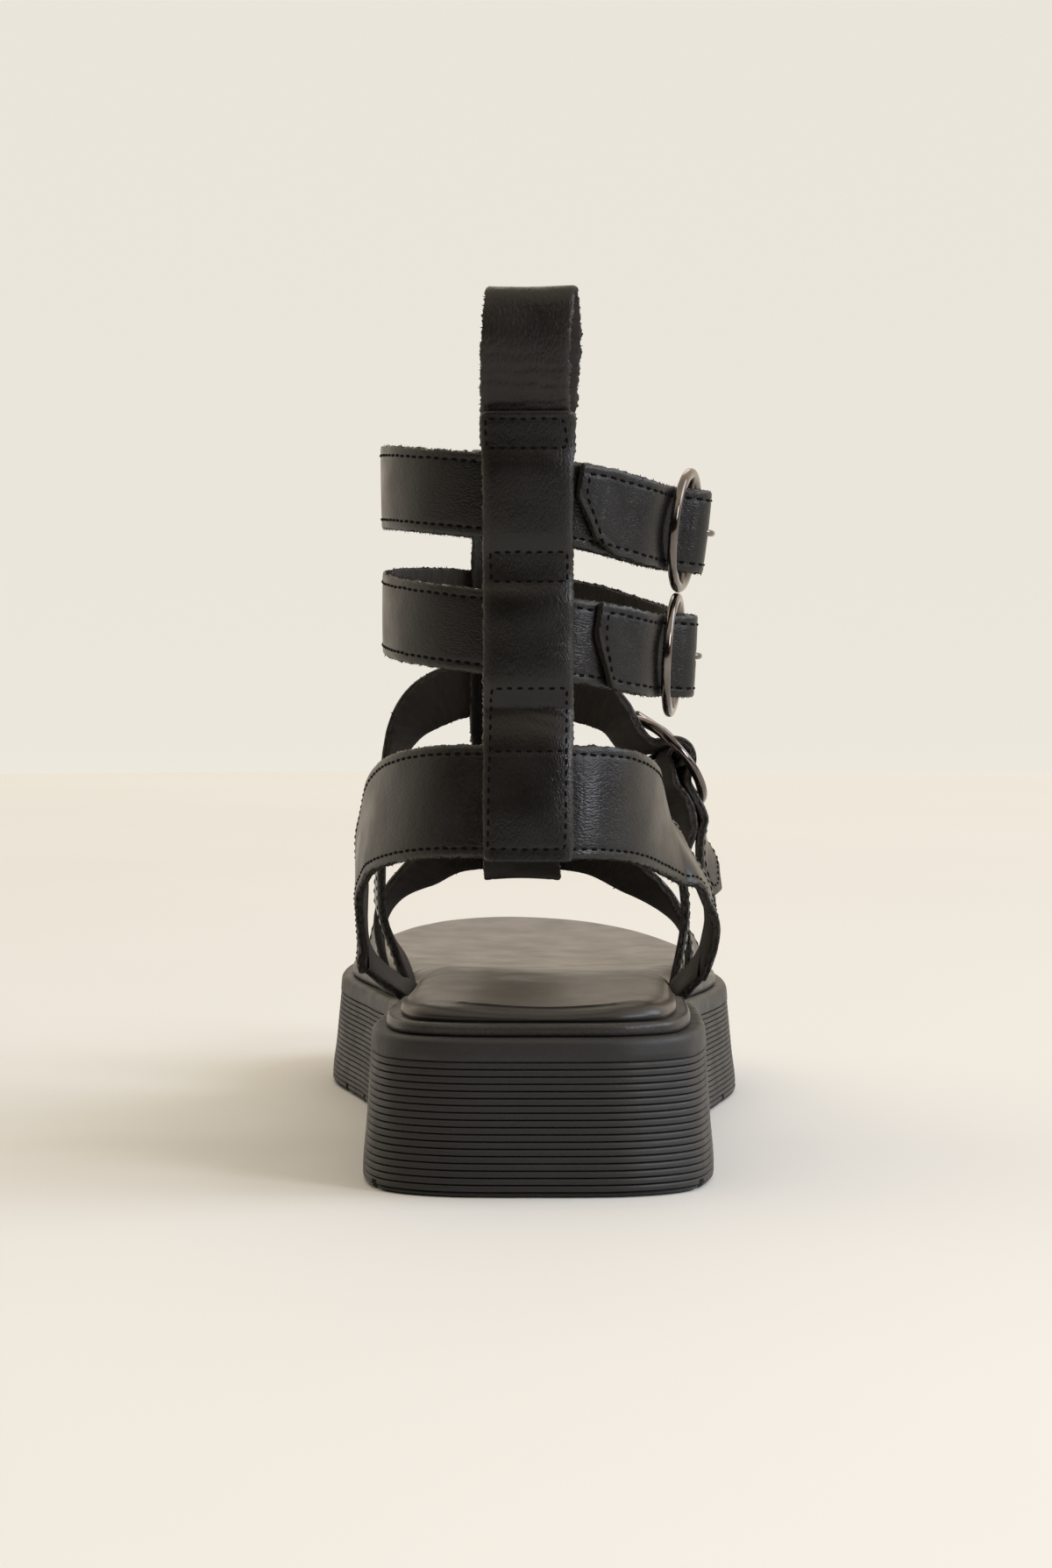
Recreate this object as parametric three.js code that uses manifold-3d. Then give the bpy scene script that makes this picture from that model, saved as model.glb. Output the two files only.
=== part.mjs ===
// A right-foot gladiator sandal: a ribbed flatform sole, a padded footbed and an upper of flat leather straps
// with three round buckles. Millimetres, +Z up, +Y towards the toes, +X towards the outer side of the foot.
// Lengths along the shoe are first measured from the back of the heel, as a last maker does. The finished
// group is then moved so that its origin is on the ground under the middle of the heel.
import * as THREE from "three";
import { mergeVertices } from "three/addons/utils/BufferGeometryUtils.js";
import Module from "manifold-3d";

const wasm = await Module();
wasm.setup();

// ---------------------------------------------------------------- driving sizes
const SHOE_LENGTH = 258; // outsole, heel back to toe tip
const HEEL_SEAT = 34; // middle of the heel, from its back
const GAP = 0.3; // air between two pieces that touch
const LEATHER = 2; // strap: outer leather and lining together
const LINING = 1.8; // single layer behind the back strap, which also makes the pull loop
const NARROW_STRAP = 17.5; // the two ankle straps and the instep strap
const CENTRE_STRAP = 18.8; // back strap, front strap and pull loop
const HEEL_STRAP_WIDTH = 23.5;
const TOE_STRAP_WIDTH = 26;
const BOARD_THICKNESS = 2.4; // wrapped insole board that shows as a ledge round the footbed
const BOARD_INSET = 5.1; // its edge, in from the bottom edge of the sole
const FOOTBED_INSET = 8.3; // the padded footbed's edge, in from the same line
const FOOTBED_THICKNESS = 3.9;
const FOOTBED_HOLLOWS = { heelCup: 1.3, ball: 0.7, arch: 2.2 };
const TIP_CUT = 6.3; // how far a loose end is cut back on its lower side
const TIP_SQUARE = 0.2; // where the cut starts across its width, from -1 to 1

// ---------------------------------------------------------------- tables of the sole
// Bottom edge of the outsole, seen from above, once round from the back of the heel along the outer side.
const SOLE_OUTLINE = [
  { name: "heel back", x: 0, y: 0 },
  { name: "heel back, outer", x: 21, y: 1.7 },
  { name: "heel corner, outer", x: 32.2, y: 9 },
  { name: "heel side, outer", x: 37, y: 24 },
  { name: "heel front, outer", x: 38, y: 55 },
  { name: "waist, outer", x: 38, y: 95 },
  { name: "behind the ball, outer", x: 41.2, y: 130 },
  { name: "ball, outer", x: 49.6, y: 175 },
  { name: "small toe", x: 45.5, y: 209 },
  { name: "toe bend, outer", x: 25, y: 246 },
  { name: "toe tip", x: -8, y: SHOE_LENGTH },
  { name: "toe bend, inner", x: -35, y: 247 },
  { name: "big toe", x: -48.6, y: 220 },
  { name: "ball, inner", x: -51.4, y: 194 },
  { name: "behind the ball, inner", x: -42, y: 151 },
  { name: "waist, inner", x: -35, y: 108 },
  { name: "heel front, inner", x: -35.6, y: 60 },
  { name: "heel side, inner", x: -37, y: 24 },
  { name: "heel corner, inner", x: -32.2, y: 9 },
  { name: "heel back, inner", x: -21, y: 1.7 },
];

// Side profile: height of the tread and of the sole's top, and how much more the walls lean in than at the
// heel.
const SOLE_PROFILE = [
  { name: "heel back", y: 0, tread: 0, top: 33, flare: 1 },
  { name: "heel breast", y: 72, tread: 0, top: 32.4, flare: 1 },
  { name: "arch", y: 104, tread: 2.6, top: 30, flare: 1.05 },
  { name: "behind the ball", y: 138, tread: 0, top: 27.4, flare: 1.1 },
  { name: "ball", y: 168, tread: 0, top: 26.8, flare: 1.15 },
  { name: "toe joint", y: 200, tread: 0, top: 27.4, flare: 1.2 },
  { name: "toes", y: 230, tread: 3.6, top: 29.2, flare: 1.2 },
  { name: "toe tip", y: SHOE_LENGTH, tread: 9, top: 31.4, flare: 1.15 },
];

// The outsole's wall from the tread up: share of its height, and how far it leans in at the heel.
const SOLE_WALL = [
  { name: "tread edge", up: 0, inset: 1.3 },
  { name: "tread chamfer", up: 0.045, inset: 0 },
  { name: "ribbed wall, top", up: 0.85, inset: 1.8 },
  { name: "band, foot", up: 0.86, inset: 2.1 },
  { name: "band, shoulder", up: 0.96, inset: 2.6 },
  { name: "band, top", up: 1, inset: 3.8 },
];

const TREAD_GROOVE = { width: 3, depth: 2.2 };
const TREAD_GROOVES = [13, 55, 76, 129, 150, 171, 192, 213, 234]; // along the shoe

// ---------------------------------------------------------------- tables of the last
// Level sections of the ankle and heel, the inside of the straps: heel back and front, half widths and how
// square the section is.
const ANKLE_MIDDLE = -0.5; // x of the ankle's middle
const ANKLE_SECTIONS = [
  { name: "in the sole", z: 24, back: 10, front: 134, inner: 23.4, outer: 27.4, square: 2.6 },
  { name: "footbed", z: 34, back: 9, front: 134, inner: 24.6, outer: 28.6, square: 2.6 },
  { name: "above the footbed", z: 44, back: 8, front: 133, inner: 34, outer: 34.4, square: 2.6 },
  { name: "heel swell", z: 54, back: 7.4, front: 132, inner: 35.3, outer: 35.4, square: 2.6 },
  { name: "above the swell", z: 64, back: 7.1, front: 130.6, inner: 35.6, outer: 31.6, square: 2.6 },
  { name: "under the ankle bone", z: 72, back: 7.4, front: 129.4, inner: 34.8, outer: 27.4, square: 2.6 },
  { name: "heel strap", z: 82, back: 8, front: 128, inner: 33.4, outer: 26, square: 2.6 },
  { name: "tendon", z: 98, back: 11, front: 101, inner: 30, outer: 26, square: 2.4 },
  { name: "ankle bend", z: 108, back: 12, front: 92, inner: 28.8, outer: 26, square: 2.3 },
  { name: "lower ankle strap", z: 117, back: 12.5, front: 87.6, inner: 28.4, outer: 26.4, square: 2.3 },
  { name: "between the ankle straps", z: 130, back: 12.5, front: 84.8, inner: 28.4, outer: 27.8, square: 2.3 },
  { name: "upper ankle strap", z: 144, back: 12.5, front: 84, inner: 28.6, outer: 29.4, square: 2.3 },
  { name: "collar", z: 172, back: 12, front: 84, inner: 28.8, outer: 32.8, square: 2.3 },
];

// Arched sections of the forefoot and instep: the ridge at the top, half widths from it, and how square each
// shoulder is.
const FOOT_SECTIONS = [
  { name: "ankle bend", y: 92, top: 109, ridge: -5, inner: 29.4, outer: 38, squareIn: 4.4, squareOut: 2.7 },
  { name: "instep", y: 101, top: 100.5, ridge: -5, inner: 30.4, outer: 39, squareIn: 4.4, squareOut: 2.7 },
  { name: "front of instep", y: 112, top: 90, ridge: -5, inner: 31, outer: 39.5, squareIn: 3.6, squareOut: 2.6 },
  { name: "waist", y: 128, top: 76, ridge: -4.5, inner: 33.2, outer: 41, squareIn: 2.8, squareOut: 2.25 },
  { name: "strap rear", y: 141, top: 66.5, ridge: -4, inner: 35.2, outer: 42, squareIn: 2.5, squareOut: 2.2 },
  { name: "toe strap", y: 153, top: 60.5, ridge: -4, inner: 36.6, outer: 43, squareIn: 2.4, squareOut: 2.15 },
  { name: "strap front", y: 166, top: 54.5, ridge: -4, inner: 37.6, outer: 44, squareIn: 2.4, squareOut: 2.1 },
];

// Where each of those sections runs into the sole on either side.
const FOOT_AT_SOLE = [
  { name: "ankle bend", y: 92, inX: -26.4, inY: 93, outX: 29.6, outY: 92 },
  { name: "instep strap", y: 101, inX: -26.6, inY: 104, outX: 29.8, outY: 103 },
  { name: "below the instep", y: 112, inX: -27.4, inY: 118, outX: 31, outY: 116 },
  { name: "waist", y: 128, inX: -30.4, inY: 136, outX: 33, outY: 131 },
  { name: "toe strap, rear", y: 141, inX: -34.2, inY: 151, outX: 35.2, outY: 145 },
  { name: "toe strap", y: 153, inX: -36.8, inY: 163, outX: 37.4, outY: 157 },
  { name: "toe strap, front", y: 166, inX: -39.4, inY: 176, outX: 39.6, outY: 169 },
];
const SOLE_LINE = 27; // height at which the sections end, inside the sole
const TUCK_HEIGHT = 27; // the straps bend in to the footbed over this height

// ---------------------------------------------------------------- small helpers
const vec = (x, y, z) => new THREE.Vector3(x, y, z);
const smooth = (t) => {
  const c = Math.min(1, Math.max(0, t));
  return c * c * (3 - 2 * c);
};
const mix = (a, b, t) => a + (b - a) * t;
const power = (value, exponent) => Math.sign(value) * Math.abs(value) ** exponent;
const range = (count) => Array.from({ length: count }, (_, i) => i);

// A row of the table at any place along it, each column on a smooth curve through the rows.
function rowAt(table, key, place) {
  const last = table.length - 1;
  const at = Math.min(Math.max(place, table[0][key]), table[last][key]);
  let i = 0;
  while (i < last - 1 && table[i + 1][key] <= at) i += 1;
  const [a, b] = [table[i], table[i + 1]];
  const span = b[key] - a[key];
  const t = (at - a[key]) / span;
  const slope = (j, column) => {
    const [p, q] = [table[Math.max(0, j - 1)], table[Math.min(last, j + 1)]];
    return (q[column] - p[column]) / (q[key] - p[key]);
  };
  const row = {};
  for (const column of Object.keys(a)) {
    if (typeof a[column] !== "number" || column === key) continue;
    const [m, n] = [slope(i, column) * span, slope(i + 1, column) * span];
    const [t2, t3] = [t * t, t * t * t];
    row[column] =
      (2 * t3 - 3 * t2 + 1) * a[column] + (t3 - 2 * t2 + t) * m +
      (3 * t2 - 2 * t3) * b[column] + (t3 - t2) * n;
  }
  row[key] = at;
  return row;
}

function solidOf(geometry) {
  const bare = geometry.clone();
  bare.deleteAttribute("normal");
  bare.deleteAttribute("uv");
  const merged = mergeVertices(bare, 1e-4);
  return new wasm.Manifold(
    new wasm.Mesh({
      numProp: 3,
      vertProperties: new Float32Array(merged.attributes.position.array),
      triVerts: new Uint32Array(merged.index.array),
    }),
  );
}

function geometryOf(solid) {
  const mesh = solid.getMesh();
  const geometry = new THREE.BufferGeometry();
  geometry.setAttribute("position", new THREE.BufferAttribute(new Float32Array(mesh.vertProperties), 3));
  geometry.setIndex(new THREE.BufferAttribute(new Uint32Array(mesh.triVerts), 1));
  geometry.computeVertexNormals();
  return geometry;
}

const join = (solids) => solids.reduce((all, next) => all.add(next));

// A closed body from an outer and an inner sheet of points with the same rows and columns.
function sheetBody(outer, inner) {
  const [rows, columns] = [outer.length, outer[0].length];
  const positions = [...outer.flat(), ...inner.flat()].flatMap((p) => [p.x, p.y, p.z]);
  const index = [];
  const quad = (a, b, c, d) => index.push(a, b, c, a, c, d);
  const out = (i, j) => i * columns + j;
  const back = (i, j) => rows * columns + i * columns + j;
  for (let i = 0; i < rows - 1; i += 1) {
    for (let j = 0; j < columns - 1; j += 1) {
      quad(out(i, j), out(i + 1, j), out(i + 1, j + 1), out(i, j + 1));
      quad(back(i, j), back(i, j + 1), back(i + 1, j + 1), back(i + 1, j));
    }
    quad(out(i, 0), back(i, 0), back(i + 1, 0), out(i + 1, 0));
    quad(out(i, columns - 1), out(i + 1, columns - 1), back(i + 1, columns - 1), back(i, columns - 1));
  }
  for (let j = 0; j < columns - 1; j += 1) {
    quad(out(0, j), out(0, j + 1), back(0, j + 1), back(0, j));
    quad(out(rows - 1, j), back(rows - 1, j), back(rows - 1, j + 1), out(rows - 1, j + 1));
  }
  const geometry = new THREE.BufferGeometry();
  geometry.setAttribute("position", new THREE.Float32BufferAttribute(positions, 3));
  geometry.setIndex(index);
  const solid = solidOf(geometry);
  return solid.volume() > 0 ? solid : solidOf(flipped(geometry));
}

function flipped(geometry) {
  const copy = geometry.clone();
  const { array } = copy.index;
  for (let i = 0; i < array.length; i += 3) [array[i + 1], array[i + 2]] = [array[i + 2], array[i + 1]];
  return copy;
}

// A strap along a line of frames {p, n, w, width, thick, low}: p is the middle of its thickness, n points
// out of the shoe, w lies across the strap. low cuts it short at one edge, from -1 to 1.
function strapBody(frames, { columns = 2, extra = 0 } = {}) {
  const side = (sign) =>
    frames.map((f) =>
      range(columns).map((j) => {
        const share = mix(f.low ?? -1, 1, j / (columns - 1));
        const bend = f.bend ? f.bend(share) : 0;
        return f.p
          .clone()
          .addScaledVector(f.w, (share * (f.width + 2 * extra)) / 2)
          .addScaledVector(f.n, sign * (f.thick / 2 + extra) - bend);
      }),
    );
  return sheetBody(side(1), side(-1));
}

// Turns a line of points with rough outward directions into strap frames.
function framesAlong(points, { width, thick }) {
  return points.map((point, i) => {
    const before = points[Math.max(0, i - 1)].p;
    const after = points[Math.min(points.length - 1, i + 1)].p;
    const along = after.clone().sub(before).normalize();
    const n = point.out
      .clone().addScaledVector(along, -point.out.dot(along)).normalize();
    const w = n.clone().cross(along).normalize();
    return { width, thick, ...point, n, w };
  });
}

// ---------------------------------------------------------------- the last
// A point on the ankle at height z. around is 0 at the back, 90 at the outer side and -90 at the inner side.
function anklePoint(z, around) {
  const s = rowAt(ANKLE_SECTIONS, "z", z);
  const angle = THREE.MathUtils.degToRad(around);
  const half = (s.front - s.back) / 2;
  const width = around > 0 ? s.outer : s.inner;
  return vec(
    ANKLE_MIDDLE + width * power(Math.sin(angle), 2 / s.square),
    (s.front + s.back) / 2 - half * power(Math.cos(angle), 2 / s.square),
    z,
  );
}

function ankleNormal(z, around) {
  const [dz, da] = [0.5, 1.5];
  const up = anklePoint(z + dz, around).sub(anklePoint(z - dz, around));
  const round = anklePoint(z, around + da).sub(anklePoint(z, around - da));
  return round.cross(up).normalize();
}

// A point on the foot in the section whose ridge is at y. over is 0 on the ridge, 90 at the outer side of the
// sole and -90 at the inner side.
function footPoint(y, over) {
  const s = { ...rowAt(FOOT_SECTIONS, "y", y), ...rowAt(FOOT_AT_SOLE, "y", y) };
  const angle = THREE.MathUtils.degToRad(over);
  const outer = over > 0;
  const exponent = 2 / (outer ? s.squareOut : s.squareIn);
  const share = power(Math.cos(angle), exponent);
  const z = mix(SOLE_LINE, s.top, share);
  const tuck = smooth((z - SOLE_LINE) / TUCK_HEIGHT);
  const width = mix(Math.abs((outer ? s.outX : s.inX) - s.ridge), outer ? s.outer : s.inner, tuck);
  return vec(s.ridge + width * power(Math.sin(angle), exponent), mix(outer ? s.outY : s.inY, y, share), z);
}

function footNormal(y, over) {
  const [dy, da] = [0.5, 1.5];
  const forward = footPoint(y + dy, over).sub(footPoint(y - dy, over));
  const across = footPoint(y, over + da).sub(footPoint(y, over - da));
  return forward.cross(across).normalize().negate();
}

// ---------------------------------------------------------------- sole
// The outline as stations along the shoe, each with its inner and outer x.
function outlineStations(count) {
  const curve = new THREE.CatmullRomCurve3(
    SOLE_OUTLINE.map((p) => vec(p.x, p.y, 0)),
    true,
    "centripetal",
  );
  const points = curve.getSpacedPoints(1200);
  const tip = points.reduce((best, p, i) => (p.y > points[best].y ? i : best), 0);
  const sideX = (side, y) => {
    const at = side.findIndex((p, i) => i > 0 && p.y >= y);
    if (at < 1) return side[at < 0 ? side.length - 1 : 0].x;
    const [a, b] = [side[at - 1], side[at]];
    return mix(a.x, b.x, (y - a.y) / (b.y - a.y || 1));
  };
  const outerSide = points.slice(0, tip + 1);
  const innerSide = points.slice(tip).reverse();
  const length = points[tip].y;
  return range(count + 1).map((i) => {
    const y = (length * (1 - Math.cos((Math.PI * i) / count))) / 2;
    return { y, inner: sideX(innerSide, y), outer: sideX(outerSide, y) };
  });
}

const STATIONS = outlineStations(35);

// The loop of outline points, moved in by a distance that may change along the shoe. The first half runs up
// the outer side and the second half comes back down the inner side.
function loopPoints(inset) {
  const outer = STATIONS.map((s) => vec(s.outer, s.y, 0));
  const inner = STATIONS.map((s) => vec(s.inner, s.y, 0));
  const last = STATIONS.length - 1;
  const loop = [...outer, ...inner.slice(1, last).reverse()];
  return loop.map((p, i) => {
    const before = loop[(i + loop.length - 1) % loop.length];
    const after = loop[(i + 1) % loop.length];
    const along = after.clone().sub(before).normalize();
    return p.clone().addScaledVector(vec(-along.y, along.x, 0), inset(p.y));
  });
}

// Closes a body from stacked loops, with a cap across each end. capHeight gives the height inside a cap.
function loopBody(loops, capColumns, capHeight) {
  const count = loops[0].length;
  const half = count / 2;
  const positions = loops.flat().map((p) => p.clone());
  const index = [];
  for (let k = 0; k < loops.length - 1; k += 1)
    for (let i = 0; i < count; i += 1) {
      const [a, b] = [k * count + i, k * count + ((i + 1) % count)];
      index.push(a, b, b + count, a, b + count, a + count);
    }
  const cap = (level, top) => {
    const base = level * count;
    const rows = range(half + 1).map((i) => {
      const [outer, inner] = [base + i, base + ((count - i) % count)];
      if (i === 0 || i === half) return [outer];
      return range(capColumns).map((j) => {
        if (j === 0) return outer;
        if (j === capColumns - 1) return inner;
        const share = j / (capColumns - 1);
        const p = positions[outer].clone().lerp(positions[inner], share);
        if (capHeight) p.z = capHeight(top, p, share);
        return positions.push(p) - 1;
      });
    });
    const face = (a, b, c) => index.push(...(top ? [a, b, c] : [a, c, b]));
    rows.slice(0, -1).forEach((row, i) => {
      const next = rows[i + 1];
      for (let j = 0; j < Math.max(row.length, next.length) - 1; j += 1) {
        const [a, b] = [row[Math.min(j, row.length - 1)], row[Math.min(j + 1, row.length - 1)]];
        const [c, d] = [next[Math.min(j, next.length - 1)], next[Math.min(j + 1, next.length - 1)]];
        if (c !== d) face(a, c, d);
        if (a !== b) face(a, d, b);
      }
    });
  };
  cap(0, false);
  cap(loops.length - 1, true);
  const geometry = new THREE.BufferGeometry();
  const flat = positions.flatMap((p) => [p.x, p.y, p.z]);
  geometry.setAttribute("position", new THREE.Float32BufferAttribute(flat, 3));
  geometry.setIndex(index);
  const solid = solidOf(geometry);
  return solid.volume() > 0 ? solid : solidOf(flipped(geometry));
}

const profileAt = (y) => rowAt(SOLE_PROFILE, "y", y);
const yOf = (name) => SOLE_PROFILE.find((row) => row.name === name).y;
// The tread is flat under the heel and under the ball.
const onGround = (y) => y < yOf("heel breast") || (y > yOf("behind the ball") && y < yOf("toe joint"));
const treadAt = (y) => (onGround(y) ? 0 : Math.max(0, profileAt(y).tread));

function outsole() {
  const loops = SOLE_WALL.map((wall) => {
    const loop = loopPoints((y) => wall.inset * profileAt(y).flare);
    for (const p of loop) p.z = mix(treadAt(p.y), profileAt(p.y).top, wall.up);
    return loop;
  });
  const grooves = TREAD_GROOVES.map((y) => {
    const box = new THREE.BoxGeometry(140, TREAD_GROOVE.width, 2 * TREAD_GROOVE.depth);
    box.translate(0, y, treadAt(y));
    return solidOf(box);
  });
  return loopBody(loops, 2).subtract(join(grooves));
}

const boardTop = (y) => profileAt(y).top + GAP + BOARD_THICKNESS;

function insoleBoard() {
  const level = (inset, height) => {
    const loop = loopPoints(() => inset);
    for (const p of loop) p.z = height(p.y);
    return loop;
  };
  return loopBody(
    [
      level(BOARD_INSET, (y) => profileAt(y).top + GAP),
      level(BOARD_INSET, (y) => boardTop(y) - 0.6),
      level(BOARD_INSET + 0.6, boardTop),
    ],
    2,
  );
}

// The footbed's top: cupped under the heel, raised under the arch, with a rolled edge.
function footbedTop(y, share) {
  const middle = 1 - (2 * share - 1) ** 2;
  const cup = FOOTBED_HOLLOWS.heelCup * middle * (1 - smooth((y - 30) / 70));
  const ball = FOOTBED_HOLLOWS.ball * middle * smooth((y - 110) / 50);
  const arch = FOOTBED_HOLLOWS.arch * smooth((share - 0.45) / 0.5) * Math.exp(-(((y - 100) / 34) ** 2));
  return boardTop(y) + GAP + FOOTBED_THICKNESS - cup - ball + arch;
}

function footbed() {
  const level = (inset, height) => {
    const loop = loopPoints(() => inset);
    const half = loop.length / 2;
    loop.forEach((p, i) => {
      p.z = height(p.y, i <= half ? 0 : 1);
    });
    return loop;
  };
  const base = (y) => boardTop(y) + GAP;
  return loopBody(
    [
      level(FOOTBED_INSET + 0.5, base),
      level(FOOTBED_INSET, (y) => base(y) + 0.8),
      level(FOOTBED_INSET, (y) => base(y) + FOOTBED_THICKNESS * 0.6),
      level(FOOTBED_INSET + 1.5, (y, share) => footbedTop(y, share) - 0.4),
      level(FOOTBED_INSET + 3.4, footbedTop),
    ],
    6,
    (top, p, share) => (top ? footbedTop(p.y, share) : base(p.y)),
  );
}

// ---------------------------------------------------------------- buckles
// In a buckle's own frame, x runs along the strap towards the side that the loose end comes from, y across
// the strap and z out of the shoe, from the strap's inside.
const RING = { outer: 13.3, inner: 10.8, thick: 2, tilt: 0.108, height: 4.9, rounding: 0.5, sides: 22 };
const BAR_RADIUS = 1;
const PRONG_RADIUS = 0.8;
const PRONG_CURL = { inside: BAR_RADIUS + 0.3, outside: BAR_RADIUS + 1.45, half: 1.1 };
// The prong's arm in the same frame, counted from the bar: up through the hole and down to the ring.
const PRONG_ARM = [
  { name: "in the curl", x: 0.4, z: 2 },
  { name: "in the hole", x: 0.7, z: 4.2 },
  { name: "bend", x: 2.3, z: 5.2 },
  { name: "over the strap", x: 4.6, z: 5.05 },
  { name: "falling", x: 8.6, z: 3.1 },
  { name: "tip", x: 13.3, z: 0.7 },
];
const PRONG_HOLE = { along: 0.9, radius: 1.35 };

// The loose end's middle line over the bar, and the buckle end's middle line round it.
const OVER_BAR = [
  { s: -12, lift: 3.45 },
  { s: -7, lift: 3.5 },
  { s: -5.9, lift: 3.9 },
  { s: -4.6, lift: 5.4 },
  { s: -2.8, lift: 7.75 },
  { s: 0, lift: 8.75 },
  { s: 2.8, lift: 7.5 },
  { s: 4.3, lift: 4.7 },
  { s: 5.5, lift: 2.3 },
  { s: 7.6, lift: 1.15 },
  { s: 12, lift: 1.05 },
];
const ROUND_BAR = { radius: 1.9, from: -95, to: 200, steps: 9, thick: 1.3 };

function ringGeometry() {
  const [mid, half, edge] = [(RING.outer + RING.inner) / 2, (RING.outer - RING.inner) / 2, RING.thick / 2];
  const [flat, side] = [half - RING.rounding, edge - 0.6 * edge];
  const profile = [
    [half, side],
    [flat, edge],
    [-flat, edge],
    [-half, side],
    [-half, -side],
    [-flat, -edge],
    [flat, -edge],
    [half, -side],
    [half, side],
  ].map(([r, h]) => new THREE.Vector2(mid + r, h));
  const ring = new THREE.LatheGeometry(profile.reverse(), RING.sides);
  ring.rotateX(Math.PI / 2);
  return ring;
}

function cylinderBetween(a, b, radius, sides) {
  const length = a.distanceTo(b);
  const rod = new THREE.CylinderGeometry(radius, radius, length, sides);
  rod.translate(0, length / 2, 0);
  rod.applyQuaternion(new THREE.Quaternion().setFromUnitVectors(vec(0, 1, 0), b.clone().sub(a).normalize()));
  rod.translate(a.x, a.y, a.z);
  return rod;
}

const positive = (geometry) => {
  const solid = solidOf(geometry);
  return solid.volume() > 0 ? solid : solidOf(flipped(geometry));
};

function buckleSolid() {
  const ring = ringGeometry();
  ring.rotateY(Math.atan(RING.tilt));
  ring.translate(0, 0, RING.height);
  const reach = RING.inner + 0.8;
  const bar = cylinderBetween(vec(0, -reach, RING.height), vec(0, reach, RING.height), BAR_RADIUS, 12);
  return positive(ring).add(positive(bar));
}

function prongSolid() {
  const { inside, outside, half } = PRONG_CURL;
  const curl = new THREE.LatheGeometry(
    [
      [inside, -half],
      [inside, half],
      [outside, half],
      [outside, -half],
      [inside, -half],
    ].map(([r, h]) => new THREE.Vector2(r, h)),
    16,
  );
  const line = new THREE.CatmullRomCurve3(
    PRONG_ARM.map(({ x, z }) => vec(x, 0, z)),
    false,
    "centripetal",
  );
  const section = new THREE.Shape(
    range(8).map((i) => {
      const angle = (Math.PI * (i + 0.5)) / 4;
      return new THREE.Vector2(PRONG_RADIUS * Math.cos(angle), PRONG_RADIUS * Math.sin(angle));
    }),
  );
  const arm = new THREE.ExtrudeGeometry(section, { extrudePath: line, steps: 9, bevelEnabled: false });
  return positive(curl)
    .add(positive(arm))
    .translate([0, 0, RING.height]);
}

// Places a solid from a buckle's own frame into the shoe.
function placed(solid, spot) {
  const m = new THREE.Matrix4().makeBasis(spot.along, spot.across, spot.out).setPosition(spot.p);
  return solid.transform(m.elements);
}

function buckleSpot(base, at = 0) {
  const here = base(at);
  const along = base(at + 1).p.clone().sub(base(at - 1).p).normalize();
  const out = here.out.clone().addScaledVector(along, -here.out.dot(along)).normalize();
  return { p: here.p, along, out, across: out.clone().cross(along).normalize() };
}

// The strap is straight where the buckle holds it: base(s) gives a point and its outward direction. The buckle
// lies the way the line runs at "facing", a little before or after it.
const HOLD = { straight: 9, easing: 14 }; // length on each side of the bar
function straightened(curve, facing) {
  const flat = { ...buckleSpot(curve, facing), p: curve(0).p };
  return (s) => {
    const point = curve(s);
    const hold = 1 - smooth((Math.abs(s) - HOLD.straight) / HOLD.easing);
    const p = point.p.clone().lerp(flat.p.clone().addScaledVector(flat.along, s), hold);
    return { p, out: point.out.clone().lerp(flat.out, hold).normalize() };
  };
}

// Cuts the prong's hole through the loose end and its slot through the fold round the bar.
function pierced(strap, spot) {
  const { along, radius } = PRONG_HOLE;
  const hole = cylinderBetween(vec(along, 0, 7), vec(along, 0, 12), radius, 12);
  const slot = cylinderBetween(vec(0, -1.5, RING.height), vec(0, 1.5, RING.height), 2.75, 16);
  return strap.subtract(placed(positive(hole), spot)).subtract(placed(positive(slot), spot));
}

// ---------------------------------------------------------------- straps with buckles
// Where along a line the strap's middle lies above the last. rows: {s, lift}.
const liftAt = (rows, s) => rowAt(rows, "s", s).lift;

// Steps along a strap: coarse where it is plain, fine near the buckle that bends it.
const STEPS = { fine: 1.25, coarse: 4.8, fineWithin: 13.5, shortest: 0.4 };
function stepsBetween(from, to) {
  const steps = [];
  for (let s = from; s < to - STEPS.shortest; s += Math.abs(s) < STEPS.fineWithin ? STEPS.fine : STEPS.coarse)
    steps.push(s);
  steps.push(to);
  return steps;
}

// How much of the width is left at s of a loose end whose lower side is cut back.
const tipLow = (s, looseEnd, cut) => (s + looseEnd < cut ? mix(TIP_SQUARE, -1, (s + looseEnd) / cut) : -1);

// The fold round the bar, continued from the strap that arrives from behind it.
function foldRoundBar(base, arrive) {
  const spot = buckleSpot(base);
  const place = (x, z) => spot.p.clone().addScaledVector(spot.along, x).addScaledVector(spot.out, z);
  const outAt = (x, z) => spot.along.clone().multiplyScalar(x).addScaledVector(spot.out, z).normalize();
  const fold = range(ROUND_BAR.steps + 1).map((i) => {
    const angle = THREE.MathUtils.degToRad(mix(ROUND_BAR.from, ROUND_BAR.to, i / ROUND_BAR.steps));
    const [x, z] = [Math.cos(angle), Math.sin(angle)];
    return {
      p: place(x * ROUND_BAR.radius, RING.height + z * ROUND_BAR.radius),
      out: outAt(-x, -z),
      thick: ROUND_BAR.thick,
    };
  });
  return [...arrive, { p: place(-2.6, 2.1), out: outAt(0.3, 1), thick: 1.5 }, ...fold];
}

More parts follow.
